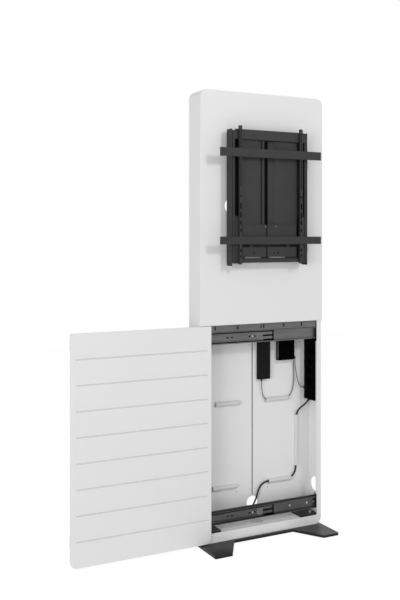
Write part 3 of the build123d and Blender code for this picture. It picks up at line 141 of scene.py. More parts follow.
def make_tone_drift():
    """A colour that grows lighter and darker over a surface, as thick and thin paint does."""
    tree, start, end = new_group(
        "tone_drift",
        (
            ("Vector", "NodeSocketVector", None),
            ("Colour", "NodeSocketColor", (0.8, 0.8, 0.8, 1)),
            ("Patches per metre", "NodeSocketFloat", 4.0),
            ("Amount", "NodeSocketFloat", 0.03),
        ),
        (("Colour", "NodeSocketColor"),),
    )
    patches = noise(tree, start.outputs["Vector"], start.outputs["Patches per metre"], 3.0)
    above = sums(tree, "SUBTRACT", patches, 0.5)
    gain = sums(tree, "MULTIPLY_ADD", above, start.outputs["Amount"], 1.0)
    scaled = tree.nodes.new("ShaderNodeVectorMath")
    scaled.operation = "SCALE"
    tree.links.new(start.outputs["Colour"], scaled.inputs[0])
    tree.links.new(gain, scaled.inputs["Scale"])
    tree.links.new(scaled.outputs[0], end.inputs["Colour"])
    return tree


def make_powder_texture():
    """Height of a powder coat: fine grains over a soft orange peel."""
    tree, start, end = new_group(
        "powder_texture",
        (
            ("Vector", "NodeSocketVector", None),
            ("Grains per metre", "NodeSocketFloat", 1500.0),
            ("Peel per metre", "NodeSocketFloat", 260.0),
            ("Peel share", "NodeSocketFloat", 0.5),
        ),
        (("Height", "NodeSocketFloat"),),
    )
    grains = noise(tree, start.outputs["Vector"], start.outputs["Grains per metre"], 1.0)
    peel = noise(tree, start.outputs["Vector"], start.outputs["Peel per metre"], 2.0)
    peel_part = sums(tree, "MULTIPLY", peel, start.outputs["Peel share"])
    total = sums(tree, "MULTIPLY_ADD", grains, 0.5, peel_part)
    tree.links.new(total, end.inputs["Height"])
    return tree


def make_sheen_patches():
    """Roughness that changes softly over a surface, from one value to another."""
    tree, start, end = new_group(
        "sheen_patches",
        (
            ("Vector", "NodeSocketVector", None),
            ("Patches per metre", "NodeSocketFloat", 14.0),
            ("Smooth", "NodeSocketFloat", 0.4),
            ("Rough", "NodeSocketFloat", 0.5),
        ),
        (("Roughness", "NodeSocketFloat"),),
    )
    patches = noise(tree, start.outputs["Vector"], start.outputs["Patches per metre"], 4.0, 0.6)
    value = spread(tree, patches, 0.3, 0.7, start.outputs["Smooth"], start.outputs["Rough"])
    tree.links.new(value, end.inputs["Roughness"])
    return tree


def make_brushed_lines():
    """Rolling and brushing lines of a metal strip, along X, as a height and a tone."""
    tree, start, end = new_group(
        "brushed_lines",
        (
            ("Vector", "NodeSocketVector", None),
            ("Stretch", "NodeSocketVector", (12.0, 900.0, 900.0)),
        ),
        (("Height", "NodeSocketFloat"), ("Tone", "NodeSocketFloat")),
    )
    stretched = tree.nodes.new("ShaderNodeVectorMath")
    stretched.operation = "MULTIPLY"
    tree.links.new(start.outputs["Vector"], stretched.inputs[0])
    tree.links.new(start.outputs["Stretch"], stretched.inputs[1])
    lines = noise(tree, stretched.outputs[0], 1.0, 3.0, 0.6)
    tree.links.new(lines, end.inputs["Height"])
    tree.links.new(spread(tree, lines, 0.3, 0.7), end.inputs["Tone"])
    return tree


def make_settled_dust():
    """Thin dust on faces that look up, as a lighter colour and its mask."""
    tree, start, end = new_group(
        "settled_dust",
        (
            ("Vector", "NodeSocketVector", None),
            ("Colour", "NodeSocketColor", (0.05, 0.05, 0.05, 1)),
            ("Dust", "NodeSocketColor", (0.42, 0.41, 0.4, 1)),
            ("Amount", "NodeSocketFloat", 0.12),
        ),
        (("Colour", "NodeSocketColor"), ("Mask", "NodeSocketFloat")),
    )
    geometry = tree.nodes.new("ShaderNodeNewGeometry")
    split = tree.nodes.new("ShaderNodeSeparateXYZ")
    tree.links.new(geometry.outputs["Normal"], split.inputs[0])
    facing_up = spread(tree, split.outputs["Z"], 0.6, 0.98)
    specks = spread(tree, noise(tree, start.outputs["Vector"], 90.0, 6.0, 0.7), 0.35, 0.75)
    mask = sums(tree, "MULTIPLY", sums(tree, "MULTIPLY", facing_up, specks), start.outputs["Amount"])
    colour = blend_colours(tree, mask, start.outputs["Colour"], start.outputs["Dust"])
    tree.links.new(colour, end.inputs["Colour"])
    tree.links.new(mask, end.inputs["Mask"])
    return tree


def make_edge_wear_and_highlight():
    """A lighter colour along sharp edges, broken up by a fine noise: partly wear, partly painted highlight
    where the edges catch the light.
    """
    tree, start, end = new_group(
        "edge_wear_and_highlight",
        (
            ("Vector", "NodeSocketVector", None),
            ("Colour", "NodeSocketColor", (0.03, 0.03, 0.03, 1)),
            ("Worn", "NodeSocketColor", (0.16, 0.16, 0.16, 1)),
            ("Width", "NodeSocketFloat", 0.0006),
            ("Amount", "NodeSocketFloat", 0.6),
        ),
        (("Colour", "NodeSocketColor"), ("Mask", "NodeSocketFloat")),
    )
    rounded = tree.nodes.new("ShaderNodeBevel")
    rounded.samples = 4
    tree.links.new(start.outputs["Width"], rounded.inputs["Radius"])
    geometry = tree.nodes.new("ShaderNodeNewGeometry")
    facing = tree.nodes.new("ShaderNodeVectorMath")
    facing.operation = "DOT_PRODUCT"
    tree.links.new(rounded.outputs["Normal"], facing.inputs[0])
    tree.links.new(geometry.outputs["True Normal"], facing.inputs[1])
    edge = spread(tree, facing.outputs["Value"], 0.995, 0.85)
    breaks = spread(tree, noise(tree, start.outputs["Vector"], 70.0, 4.0, 0.6), 0.3, 0.6, 0.35, 1.0)
    mask = sums(tree, "MULTIPLY", sums(tree, "MULTIPLY", edge, breaks), start.outputs["Amount"])
    colour = blend_colours(tree, mask, start.outputs["Colour"], start.outputs["Worn"])
    tree.links.new(colour, end.inputs["Colour"])
    tree.links.new(mask, end.inputs["Mask"])
    return tree


def make_height_shade():
    """A colour that grows darker towards the floor: painted shade."""
    tree, start, end = new_group(
        "height_shade",
        (
            ("Vector", "NodeSocketVector", None),
            ("Colour", "NodeSocketColor", (0.2, 0.2, 0.2, 1)),
            ("Low share", "NodeSocketFloat", 0.5),
            ("Low height", "NodeSocketFloat", 0.2),
            ("High height", "NodeSocketFloat", 0.9),
        ),
        (("Colour", "NodeSocketColor"),),
    )
    split = tree.nodes.new("ShaderNodeSeparateXYZ")
    tree.links.new(start.outputs["Vector"], split.inputs[0])
    share = spread(
        tree, split.outputs["Z"], start.outputs["Low height"], start.outputs["High height"],
        start.outputs["Low share"], 1.0,
    )
    scaled = tree.nodes.new("ShaderNodeVectorMath")
    scaled.operation = "SCALE"
    tree.links.new(start.outputs["Colour"], scaled.inputs[0])
    tree.links.new(share, scaled.inputs["Scale"])
    tree.links.new(scaled.outputs[0], end.inputs["Colour"])
    return tree


def make_groove_shade():
    """Painted shade: a darker colour at the heights of the door's evenly spaced grooves, wherever the face
    lies deeper than the first depth, so also on the door's flat back.
    """
    tree, start, end = new_group(
        "groove_shade",
        (
            ("Vector", "NodeSocketVector", None),
            ("Colour", "NodeSocketColor", (0.87, 0.87, 0.87, 1)),
            ("First height", "NodeSocketFloat", 0.125),
            ("Last height", "NodeSocketFloat", 0.95),
            ("Spacing", "NodeSocketFloat", 0.11),
            ("Half width", "NodeSocketFloat", 0.0042),
            ("Middle", "NodeSocketFloat", -0.6095),
            ("Half length", "NodeSocketFloat", 0.3115),
            ("First depth", "NodeSocketFloat", 0.0004),
            ("Share", "NodeSocketFloat", 0.84),
        ),
        (("Colour", "NodeSocketColor"),),
    )
    split = tree.nodes.new("ShaderNodeSeparateXYZ")
    tree.links.new(start.outputs["Vector"], split.inputs[0])
    height = split.outputs["Z"]
    half = sums(tree, "MULTIPLY", start.outputs["Spacing"], 0.5)
    rise = sums(tree, "ADD", sums(tree, "SUBTRACT", height, start.outputs["First height"]), half)
    turn = sums(tree, "FLOORED_MODULO", rise, start.outputs["Spacing"])
    apart = sums(tree, "ABSOLUTE", sums(tree, "SUBTRACT", turn, half))
    groove = sums(tree, "LESS_THAN", apart, start.outputs["Half width"])
    below = sums(tree, "LESS_THAN", height, start.outputs["Last height"])
    beside = sums(
        tree, "ABSOLUTE", sums(tree, "SUBTRACT", split.outputs["X"], start.outputs["Middle"])
    )
    along = sums(tree, "LESS_THAN", beside, start.outputs["Half length"])
    sunk = sums(tree, "GREATER_THAN", split.outputs["Y"], start.outputs["First depth"])
    mask = sums(
        tree, "MULTIPLY", sums(tree, "MULTIPLY", groove, below), sums(tree, "MULTIPLY", along, sunk)
    )
    lost = sums(tree, "MULTIPLY", mask, sums(tree, "SUBTRACT", 1.0, start.outputs["Share"]))
    scaled = tree.nodes.new("ShaderNodeVectorMath")
    scaled.operation = "SCALE"
    tree.links.new(start.outputs["Colour"], scaled.inputs[0])
    tree.links.new(sums(tree, "SUBTRACT", 1.0, lost), scaled.inputs["Scale"])
    tree.links.new(scaled.outputs[0], end.inputs["Colour"])
    return tree


TONE_DRIFT = make_tone_drift()
POWDER_TEXTURE = make_powder_texture()
SHEEN_PATCHES = make_sheen_patches()
BRUSHED_LINES = make_brushed_lines()
SETTLED_DUST = make_settled_dust()
EDGE_WEAR_AND_HIGHLIGHT = make_edge_wear_and_highlight()
HEIGHT_SHADE = make_height_shade()
GROOVE_SHADE = make_groove_shade()


def effect(tree, group, **values):
    """Places a shader node group in a material, with its own values or links."""
    node = tree.nodes.new("ShaderNodeGroup")
    node.node_tree = group
    for label, value in values.items():
        socket = node.inputs[label.replace("_", " ")]
        if isinstance(value, bpy.types.NodeSocket):
            tree.links.new(value, socket)
        else:
            socket.default_value = value
    return node.outputs


def start_material(name):
    """A material with its Principled shader and Object coordinates."""
    made = bpy.data.materials.new(name)
    made.use_nodes = True
    tree = made.node_tree
    shader = tree.nodes["Principled BSDF"]
    place = tree.nodes.new("ShaderNodeTexCoord").outputs["Object"]
    return made, tree, shader, place


def raise_surface(tree, shader, height, depth):
    """Bump of a given depth in metres into the shader's normal."""
    bump = tree.nodes.new("ShaderNodeBump")
    bump.inputs["Strength"].default_value = 1.0
    bump.inputs["Distance"].default_value = depth
    tree.links.new(height, bump.inputs["Height"])
    tree.links.new(bump.outputs["Normal"], shader.inputs["Normal"])


def powder_coat(
    name, colour, drift, patches, smooth, rough, grains, depth, dust=0.0, specular=0.5, worn_and_highlight=None,
    grooved=False,
):
    """A sprayed and baked coat: tone drift, changing sheen, raised grain, edges lighter from wear and
    painted highlight, and dust.
    """
    made, tree, shader, place = start_material(name)
    tone = effect(
        tree, TONE_DRIFT, Vector=place, Colour=(*colour, 1), Patches_per_metre=patches, Amount=drift
    )["Colour"]
    if grooved:
        # Painted shade at the heights of the door's grooves.
        tone = effect(tree, GROOVE_SHADE, Vector=place, Colour=tone)["Colour"]
    # Lighter edges: partly wear, partly painted highlight where the edges catch the light.
    if worn_and_highlight:
        tone = effect(tree, EDGE_WEAR_AND_HIGHLIGHT, Vector=place, Colour=tone, Worn=(*worn_and_highlight, 1))["Colour"]
    if dust:
        tone = effect(tree, SETTLED_DUST, Vector=place, Colour=tone, Amount=dust)["Colour"]
    tree.links.new(tone, shader.inputs["Base Color"])
    sheen = effect(tree, SHEEN_PATCHES, Vector=place, Smooth=smooth, Rough=rough)["Roughness"]
    tree.links.new(sheen, shader.inputs["Roughness"])
    shader.inputs["Specular IOR Level"].default_value = specular
    height = effect(tree, POWDER_TEXTURE, Vector=place, Grains_per_metre=grains)["Height"]
    raise_surface(tree, shader, height, depth)
    return made


def plated_metal(name, dark, light, stretch, smooth, rough, depth, low_share=1.0, worn_and_highlight=None):
    """A bare or plated metal strip with fine lines in its rolling direction."""
    made, tree, shader, place = start_material(name)
    shader.inputs["Metallic"].default_value = 1.0
    lines = effect(tree, BRUSHED_LINES, Vector=place, Stretch=stretch)
    tone = blend_colours(tree, lines["Tone"], (*dark, 1), (*light, 1))
    tone = effect(tree, TONE_DRIFT, Vector=place, Colour=tone, Patches_per_metre=9.0, Amount=0.3)["Colour"]
    # Painted shade: the colour grows darker towards the floor, so the lower slides look darker.
    if low_share < 1:
        tone = effect(tree, HEIGHT_SHADE, Vector=place, Colour=tone, Low_share=low_share)["Colour"]
    # Lighter edges: partly wear, partly painted highlight along the edges.
    if worn_and_highlight:
        tone = effect(tree, EDGE_WEAR_AND_HIGHLIGHT, Vector=place, Colour=tone, Worn=(*worn_and_highlight, 1))["Colour"]
    tree.links.new(tone, shader.inputs["Base Color"])
    sheen = effect(tree, SHEEN_PATCHES, Vector=place, Smooth=smooth, Rough=rough)["Roughness"]
    tree.links.new(sheen, shader.inputs["Roughness"])
    raise_surface(tree, shader, lines["Height"], depth)
    return made


def make_materials():
    """One material for each of the record's slots."""
    return {
        "white_steel": powder_coat(
            "white_powder_coat", (0.87, 0.87, 0.87),
            drift=0.04, patches=2.5, smooth=0.42, rough=0.5, grains=1400.0, depth=0.00005,
        ),
        "white_board": powder_coat(
            "white_lacquer", (0.87, 0.87, 0.87),
            drift=0.03, patches=2.0, smooth=0.4, rough=0.47, grains=900.0, depth=0.00003,
            # Painted shade in the door's grooves.
            grooved=True,
        ),
        "white_plastic": powder_coat(
            "white_plastic", (0.7, 0.7, 0.695),
            drift=0.03, patches=6.0, smooth=0.3, rough=0.4, grains=2600.0, depth=0.00002,
        ),
        "black_steel": powder_coat(
            "black_powder_coat", (0.025, 0.025, 0.026),
            drift=0.3, patches=9.0, smooth=0.5, rough=0.62, grains=1700.0, depth=0.00012,
            dust=0.06, specular=0.35, worn_and_highlight=(0.08, 0.08, 0.082),
        ),
        "base_steel": powder_coat(
            "base_powder_coat", (0.001, 0.001, 0.0011),
            drift=0.3, patches=7.0, smooth=0.26, rough=0.36, grains=1200.0, depth=0.00006,
            dust=0.02, specular=0.3, worn_and_highlight=(0.02, 0.02, 0.02),
        ),
        "black_plastic": powder_coat(
            "black_plastic", (0.0008, 0.0008, 0.0009),
            drift=0.3, patches=20.0, smooth=0.42, rough=0.55, grains=2400.0, depth=0.00006,
            specular=0.015, worn_and_highlight=(0.008, 0.008, 0.008),
        ),
        "device_plastic": powder_coat(
            "device_plastic", (0.0045, 0.0045, 0.0047),
            drift=0.25, patches=20.0, smooth=0.4, rough=0.52, grains=2200.0, depth=0.00006,
            specular=0.1, worn_and_highlight=(0.02, 0.02, 0.02),
        ),
        "grey_plastic": powder_coat(
            "grey_plastic", (0.24, 0.24, 0.24),
            drift=0.1, patches=20.0, smooth=0.4, rough=0.52, grains=2200.0, depth=0.00004,
            specular=0.3,
        ),
        "rubber": powder_coat(
            "rubber_mat", (0.012, 0.012, 0.012),
            drift=0.4, patches=20.0, smooth=0.7, rough=0.85, grains=700.0, depth=0.0002,
        ),
        "grey_foam": powder_coat(
            "grey_foam", (0.22, 0.22, 0.22),
            drift=0.3, patches=30.0, smooth=0.8, rough=0.9, grains=500.0, depth=0.0003,
            specular=0.1,
        ),
        "lead_sheath": powder_coat(
            "lead_sheath", (0.006, 0.006, 0.0062),
            drift=0.3, patches=30.0, smooth=0.38, rough=0.5, grains=3000.0, depth=0.00002,
            specular=0.3,
        ),
        # Slide steel: painted highlight along its edges and painted shade darker towards the floor.
        "slide_steel": plated_metal(
            "dark_zinc", dark=(0.11, 0.11, 0.113), light=(0.175, 0.175, 0.178),
            stretch=(10.0, 800.0, 800.0), smooth=0.34, rough=0.48, depth=0.00002,
            low_share=0.62, worn_and_highlight=(0.5, 0.5, 0.5),
        ),
        "bright_steel": plated_metal(
            "bright_zinc", dark=(0.5, 0.5, 0.5), light=(0.66, 0.66, 0.65),
            stretch=(500.0, 500.0, 500.0), smooth=0.25, rough=0.38, depth=0.00002,
        ),
        "spring_steel": plated_metal(
            "spring_strip", dark=(0.4, 0.4, 0.42), light=(0.55, 0.55, 0.57),
            stretch=(900.0, 900.0, 10.0), smooth=0.2, rough=0.32, depth=0.00002,
        ),
    }


def dress_cad_nodes(materials):
    """Gives each CAD node the material of its slot."""
    for subpart in frame["record"]["subparts"]:
        node = nodes[subpart["node"]]
        node.data.materials.clear()
        node.data.materials.append(materials[subpart["material_slot"]])


# Repeated pieces, made by Geometry Nodes at the places of the CAD solids
def solid_boxes(node_name):
    """Lowest and highest corners and the points of each separate solid of a CAD node."""
    mesh = nodes[node_name].data
    owner = {}

    def find(key):
        while owner[key] != key:
            owner[key] = owner[owner[key]]
            key = owner[key]
        return key

    keys = [tuple(round(value, 6) for value in vertex.co) for vertex in mesh.vertices]
    for key in keys:
        owner.setdefault(key, key)
    for polygon in mesh.polygons:
        corners = [keys[index] for index in polygon.vertices]
        for corner in corners[1:]:
            first, second = find(corners[0]), find(corner)
            if first != second:
                owner[max(first, second)] = min(first, second)
    solids = {}
    for key in sorted(owner):
        solids.setdefault(find(key), []).append(key)
    found = []
    for points in solids.values():
        low = Vector([min(point[axis] for point in points) for axis in range(3)])
        high = Vector([max(point[axis] for point in points) for axis in range(3)])
        found.append((low, high, points))
    return found


def screw_seats(node_name):
    """For each screw along Y: the middle of its head's inner face, the head's way and sizes."""
    seats = []
    for low, high, points in solid_boxes(node_name):
        x, z = (low.x + high.x) / 2, (low.z + high.z) / 2
        widest = max(math.hypot(point[0] - x, point[2] - z) for point in points)
        head = [p[1] for p in points if math.hypot(p[0] - x, p[2] - z) > 0.9 * widest]
        facing = -1 if abs(min(head) - low.y) < abs(max(head) - high.y) else 1
        inner = max(head) if facing < 0 else min(head)
        seats.append((Vector((x, inner, z)), facing, widest, max(head) - min(head)))
    return seats


def new_pattern(name, inputs):
    """A Geometry Nodes tree with a geometry input and output and these named inputs."""
    tree = bpy.data.node_groups.new(name, "GeometryNodeTree")
    tree.interface.new_socket("Geometry", in_out="INPUT", socket_type="NodeSocketGeometry")
    for label, kind in (*inputs, ("Finish", "NodeSocketMaterial")):
        tree.interface.new_socket(label, in_out="INPUT", socket_type=kind)
    tree.interface.new_socket("Geometry", in_out="OUTPUT", socket_type="NodeSocketGeometry")
    return tree, tree.nodes.new("NodeGroupInput").outputs, tree.nodes.new("NodeGroupOutput").inputs


def add_node(tree, kind, links=(), **settings):
    """Adds a node, sets its properties and links or fills its inputs."""
    node = tree.nodes.new(kind)
    for label, value in settings.items():
        setattr(node, label, value)
    for label, value in dict(links).items():
        if isinstance(value, bpy.types.NodeSocket):
            tree.links.new(value, node.inputs[label])
        else:
            node.inputs[label].default_value = value
    return node


def finish_pattern(tree, geometry, start, end):
    """Ends a tree in Realize Instances and Set Material."""
    real = add_node(tree, "GeometryNodeRealizeInstances", {"Geometry": geometry})
    links = {"Geometry": real.outputs["Geometry"], "Material": start["Finish"]}
    painted = add_node(tree, "GeometryNodeSetMaterial", links)
    tree.links.new(painted.outputs["Geometry"], end["Geometry"])
    return tree


def at_points(tree, points, instance):
    """Copies of a mesh at points, each turned so that its Z looks along the point's facing."""
    facing = add_node(
        tree, "GeometryNodeInputNamedAttribute", {"Name": "facing"}, data_type="FLOAT_VECTOR"
    )
    turn = add_node(
        tree, "FunctionNodeAlignRotationToVector", {"Vector": facing.outputs["Attribute"]}, axis="Z"
    )
    placed = add_node(
        tree,
        "GeometryNodeInstanceOnPoints",
        {"Points": points, "Instance": instance, "Rotation": turn.outputs["Rotation"]},
    )
    return placed.outputs["Instances"]


def vector_of(tree, x, y, z):
    """A vector from three sockets or numbers."""
    return add_node(tree, "ShaderNodeCombineXYZ", {"X": x, "Y": y, "Z": z}).outputs[0]


# Shares of a screw's own sizes
DOME_SHARE = 0.5
BLADE_SHARE = 0.24
RECESS_DEPTH_SHARE = 1.1
SHANK_DROP_SHARE = 0.499


def make_screw_pattern():
    """Pan-head screws with a cross recess at each point, with their shanks."""
    tree, start, end = new_pattern(
        "recessed_screws",
        (
            ("Head radius", "NodeSocketFloat"),
            ("Head height", "NodeSocketFloat"),
            ("Shank radius", "NodeSocketFloat"),
            ("Shank length", "NodeSocketFloat"),
            ("Recess width", "NodeSocketFloat"),
        ),
    )
    head = add_node(
        tree,
        "GeometryNodeMeshCylinder",
        {"Vertices": 20, "Side Segments": 3, "Radius": start["Head radius"], "Depth": start["Head height"]},
    )
    half = sums(tree, "MULTIPLY", start["Head height"], 0.5)
    where = add_node(tree, "GeometryNodeInputPosition").outputs[0]
    height = add_node(tree, "ShaderNodeSeparateXYZ", {"Vector": where}).outputs["Z"]
    rise = sums(tree, "DIVIDE", height, start["Head height"])
    upper = sums(tree, "MAXIMUM", rise, 0.0)
    narrow = sums(tree, "SUBTRACT", 1.0, sums(tree, "MULTIPLY", upper, DOME_SHARE))
    shape = add_node(
        tree, "ShaderNodeVectorMath", {0: where, 1: vector_of(tree, narrow, narrow, 1.0)},
        operation="MULTIPLY",
    )
    domed = add_node(
        tree, "GeometryNodeSetPosition", {"Geometry": head.outputs["Mesh"], "Position": shape.outputs[0]}
    )
    blade = sums(tree, "MULTIPLY", start["Recess width"], BLADE_SHARE)
    deep = sums(tree, "MULTIPLY", start["Head height"], RECESS_DEPTH_SHARE)
    first = add_node(
        tree, "GeometryNodeMeshCube", {"Size": vector_of(tree, start["Recess width"], blade, deep)}
    )
    second = add_node(
        tree, "GeometryNodeMeshCube", {"Size": vector_of(tree, blade, start["Recess width"], deep)}
    )
    cross = add_node(tree, "GeometryNodeJoinGeometry")
    for cube in (first, second):
        tree.links.new(cube.outputs["Mesh"], cross.inputs["Geometry"])
    lifted = add_node(
        tree,
        "GeometryNodeTransform",
        {"Geometry": cross.outputs["Geometry"], "Translation": vector_of(tree, 0.0, 0.0, half)},
    )
    cut = add_node(tree, "GeometryNodeMeshBoolean", operation="DIFFERENCE", solver="EXACT")
    cut.inputs["Self Intersection"].default_value = True
    tree.links.new(domed.outputs["Geometry"], cut.inputs["Mesh 1"])
    tree.links.new(lifted.outputs["Geometry"], cut.inputs["Mesh 2"])
    raised = add_node(
        tree,
        "GeometryNodeTransform",
        {"Geometry": cut.outputs["Mesh"], "Translation": vector_of(tree, 0.0, 0.0, half)},
    )
    shank = add_node(
        tree,
        "GeometryNodeMeshCylinder",
        {"Vertices": 12, "Radius": start["Shank radius"], "Depth": start["Shank length"]},
    )
    drop = sums(tree, "MULTIPLY", start["Shank length"], -SHANK_DROP_SHARE)
    sunk = add_node(
        tree,
        "GeometryNodeTransform",
        {"Geometry": shank.outputs["Mesh"], "Translation": vector_of(tree, 0.0, 0.0, drop)},
    )
    screw = add_node(tree, "GeometryNodeJoinGeometry")
    for part in (raised.outputs["Geometry"], sunk.outputs["Geometry"]):
        tree.links.new(part, screw.inputs["Geometry"])
    placed = at_points(tree, start["Geometry"], screw.outputs["Geometry"])
    return finish_pattern(tree, placed, start, end)


def make_ball_pattern():
    """A steel ball at each point."""
    tree, start, end = new_pattern("steel_balls", (("Ball radius", "NodeSocketFloat"),))
    ball = add_node(tree, "GeometryNodeMeshIcoSphere", {"Radius": start["Ball radius"], "Subdivisions": 2})
    placed = at_points(tree, start["Geometry"], ball.outputs["Mesh"])
    return finish_pattern(tree, placed, start, end)


def make_rib_pattern():
    """Rows of small straight ribs: one row starts at each point and goes on by a step."""
    tree, start, end = new_pattern(
        "rib_rows",
        (
            ("Ribs", "NodeSocketInt"),
            ("Step", "NodeSocketVector"),
            ("Rib size", "NodeSocketVector"),
        ),
    )
    line = add_node(
        tree, "GeometryNodeMeshLine", {"Count": start["Ribs"], "Offset": start["Step"]}, mode="OFFSET"
    )
    rib = add_node(tree, "GeometryNodeMeshCube", {"Size": start["Rib size"]})
    row = add_node(
        tree,
        "GeometryNodeInstanceOnPoints",
        {"Points": line.outputs["Mesh"], "Instance": rib.outputs["Mesh"]},
    )
    rows = add_node(
        tree,
        "GeometryNodeInstanceOnPoints",
        {"Points": start["Geometry"], "Instance": row.outputs["Instances"]},
    )
    return finish_pattern(tree, rows.outputs["Instances"], start, end)


def repeat_piece(name, pattern, places, body, slot, values):
    """Runs a pattern on points with facings and keeps the result as a plain mesh."""
    seed = bpy.data.meshes.new(name + "_points")
    seed.from_pydata([tuple(place) for place, _ in places], [], [])
    facing = seed.attributes.new("facing", "FLOAT_VECTOR", "POINT")
    for index, (_, way) in enumerate(places):
        facing.data[index].vector = way
    holder = bpy.data.objects.new(name + "_points", seed)
    scene.collection.objects.link(holder)
    modifier = holder.modifiers.new(name, "NODES")
    modifier.node_group = pattern
    settings = {**values, "Finish": materials[slot]}
    for item in pattern.interface.items_tree:
        if item.in_out == "INPUT" and item.name in settings:
            modifier[item.identifier] = settings[item.name]
    bpy.context.view_layer.update()
    grown = holder.evaluated_get(bpy.context.evaluated_depsgraph_get())
    mesh = bpy.data.meshes.new_from_object(grown)
    mesh.name = name
    bpy.data.objects.remove(holder)
    piece = bpy.data.objects.new(name, mesh)
    scene.collection.objects.link(piece)
    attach(piece, body)
    return piece


def along_y(way):
    """A unit vector along Y."""
    return (0, way, 0)


# For each set: its name, CAD node, body, slot, shank radius and shank length
SCREW_SETS = (
    ("panel_screw_set", "panel_screws", "root", "bright_steel", 0.0018, 0.0055),
    ("door_screw_set", "door_screws", "door", "bright_steel", 0.0025, 0.0118),
    ("carriage_knob_set", "carriage_screws", "carriage", "slide_steel", 0.003, 0.0048),
)
RECESS_SHARE = 1.15


def set_screws(pattern):
    """Screws with a recess at the seats of the CAD screws, one set for each head size."""
    for name, node, body, slot, shank_radius, shank_length in SCREW_SETS:
        groups = {}
        for place, facing, radius, height in screw_seats(node):
            size = (round(radius, 4), round(height, 4))
            groups.setdefault(size, []).append((place, along_y(facing)))
        for index, ((radius, height), places) in enumerate(sorted(groups.items())):
            values = {
                "Head radius": radius,
                "Head height": height,
                "Shank radius": shank_radius,
                "Shank length": shank_length,
                "Recess width": RECESS_SHARE * radius,
            }
            piece = repeat_piece(f"{name}_{index + 1}", pattern, places, body, slot, values)
            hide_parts(node)


BALL_SIZE = 0.0048
BALL_SHOW = 0.00006


def set_balls(pattern):
    """Bright balls over the plain ones of the two cages of each slide."""
    for node, body in (("outer_ball_cages", "outer_cages"), ("inner_ball_cages", "inner_cages")):
        places = []
        for low, high, _ in solid_boxes(node):
            if (high - low).length < 2 * BALL_SIZE:
                places.append(((low + high) / 2, (0, 0, 1)))
        values = {"Ball radius": BALL_SIZE / 2 + BALL_SHOW}
        repeat_piece(node + "_balls", pattern, places, body, "bright_steel", values)


RIVET_X = -0.045
RIVET_RADIUS = 0.0035
RIVET_HEIGHT = 0.0003


def set_rivets(pattern):
    """Flat bright rivets in the webs of the middle slide members, near their right ends."""
    places = []
    for low, high, _ in solid_boxes("slide_bumpers"):
        places.append(((RIVET_X, high.y, (low.z + high.z) / 2), along_y(-1)))
    values = {
        "Head radius": RIVET_RADIUS,
        "Head height": RIVET_HEIGHT,
        "Shank radius": 0.5 * RIVET_RADIUS,
        "Shank length": 5 * RIVET_HEIGHT,
        "Recess width": 0.5 * RIVET_RADIUS,
    }
    repeat_piece("slide_rivets", pattern, places, "middle_slides", "bright_steel", values)


RIB_SIZE = (0.0025, 0.003, 0.019)
RIB_STEP = 0.0065
RIB_COUNT = 4
FIN_SIZE = (0.0011, 0.0014, 0.09)
FIN_STEP = 0.0026
FIN_COUNT = 10
FIN_INSET = 0.003
SUNK_SHARE = 0.45


def set_box_fins(pattern):
    """Upright cooling fins on the left side of the media box."""
    low, high = solid_boxes("media_box")[0][:2]
    place = (low.x - SUNK_SHARE * FIN_SIZE[0], low.y + FIN_INSET, (low.z + high.z) / 2)
    values = {"Ribs": FIN_COUNT, "Step": (0.0, FIN_STEP, 0.0), "Rib size": FIN_SIZE}
    repeat_piece("box_cooling_fins", pattern, [(place, (0, 0, 1))], "root", "slide_steel", values)


def set_bumper_ribs(pattern):
    """Upright ribs on the end plates of the middle slide members."""
    places = []
    for low, high, _ in solid_boxes("slide_bumpers"):
        start = high.x - (RIB_COUNT - 1) * RIB_STEP - 2 * RIB_SIZE[0]
        place = (start, low.y - SUNK_SHARE * RIB_SIZE[1], (low.z + high.z) / 2)
        places.append((place, (0, 0, 1)))
    values = {"Ribs": RIB_COUNT, "Step": (RIB_STEP, 0.0, 0.0), "Rib size": RIB_SIZE}
    repeat_piece("bumper_ribs", pattern, places, "middle_slides", "grey_plastic", values)


SOCKET_HEIGHTS = (0.7, 0.75, 0.8, 0.85)
SOCKET_FLOOR = (0.313, 0.05)
SOCKET_FACE_RADIUS = 0.0192
SOCKET_FACE_THICKNESS = 0.0009
PIN_HOLE_RADIUS = 0.0024
PIN_HOLE_OFFSET = 0.0095
EARTH_CLIP = (0.009, 0.004, 0.0012)
EARTH_CLIP_RISE = 0.0165


def make_socket_pattern():
    """The round floor of a socket with its two pin holes, at each point."""
    tree, start, end = new_pattern(
        "socket_floors",
        (
            ("Face radius", "NodeSocketFloat"),
            ("Face thickness", "NodeSocketFloat"),
            ("Hole radius", "NodeSocketFloat"),
            ("Hole offset", "NodeSocketFloat"),
        ),
    )
    disc = add_node(
        tree,
        "GeometryNodeMeshCylinder",
        {"Vertices": 40, "Radius": start["Face radius"], "Depth": start["Face thickness"]},
    )
    cut = add_node(tree, "GeometryNodeMeshBoolean", operation="DIFFERENCE", solver="EXACT")
    tree.links.new(disc.outputs["Mesh"], cut.inputs["Mesh 1"])
    deep = sums(tree, "MULTIPLY", start["Face thickness"], 2.0)
    for side in (-1.0, 1.0):
        hole = add_node(
            tree,
            "GeometryNodeMeshCylinder",
            {"Vertices": 16, "Radius": start["Hole radius"], "Depth": deep},
        )
        offset = sums(tree, "MULTIPLY", start["Hole offset"], side)
        moved = add_node(
            tree,
            "GeometryNodeTransform",
            {"Geometry": hole.outputs["Mesh"], "Translation": vector_of(tree, 0.0, offset, 0.0)},
        )
        tree.links.new(moved.outputs["Geometry"], cut.inputs["Mesh 2"])
    placed = at_points(tree, start["Geometry"], cut.outputs["Mesh"])
    return finish_pattern(tree, placed, start, end)


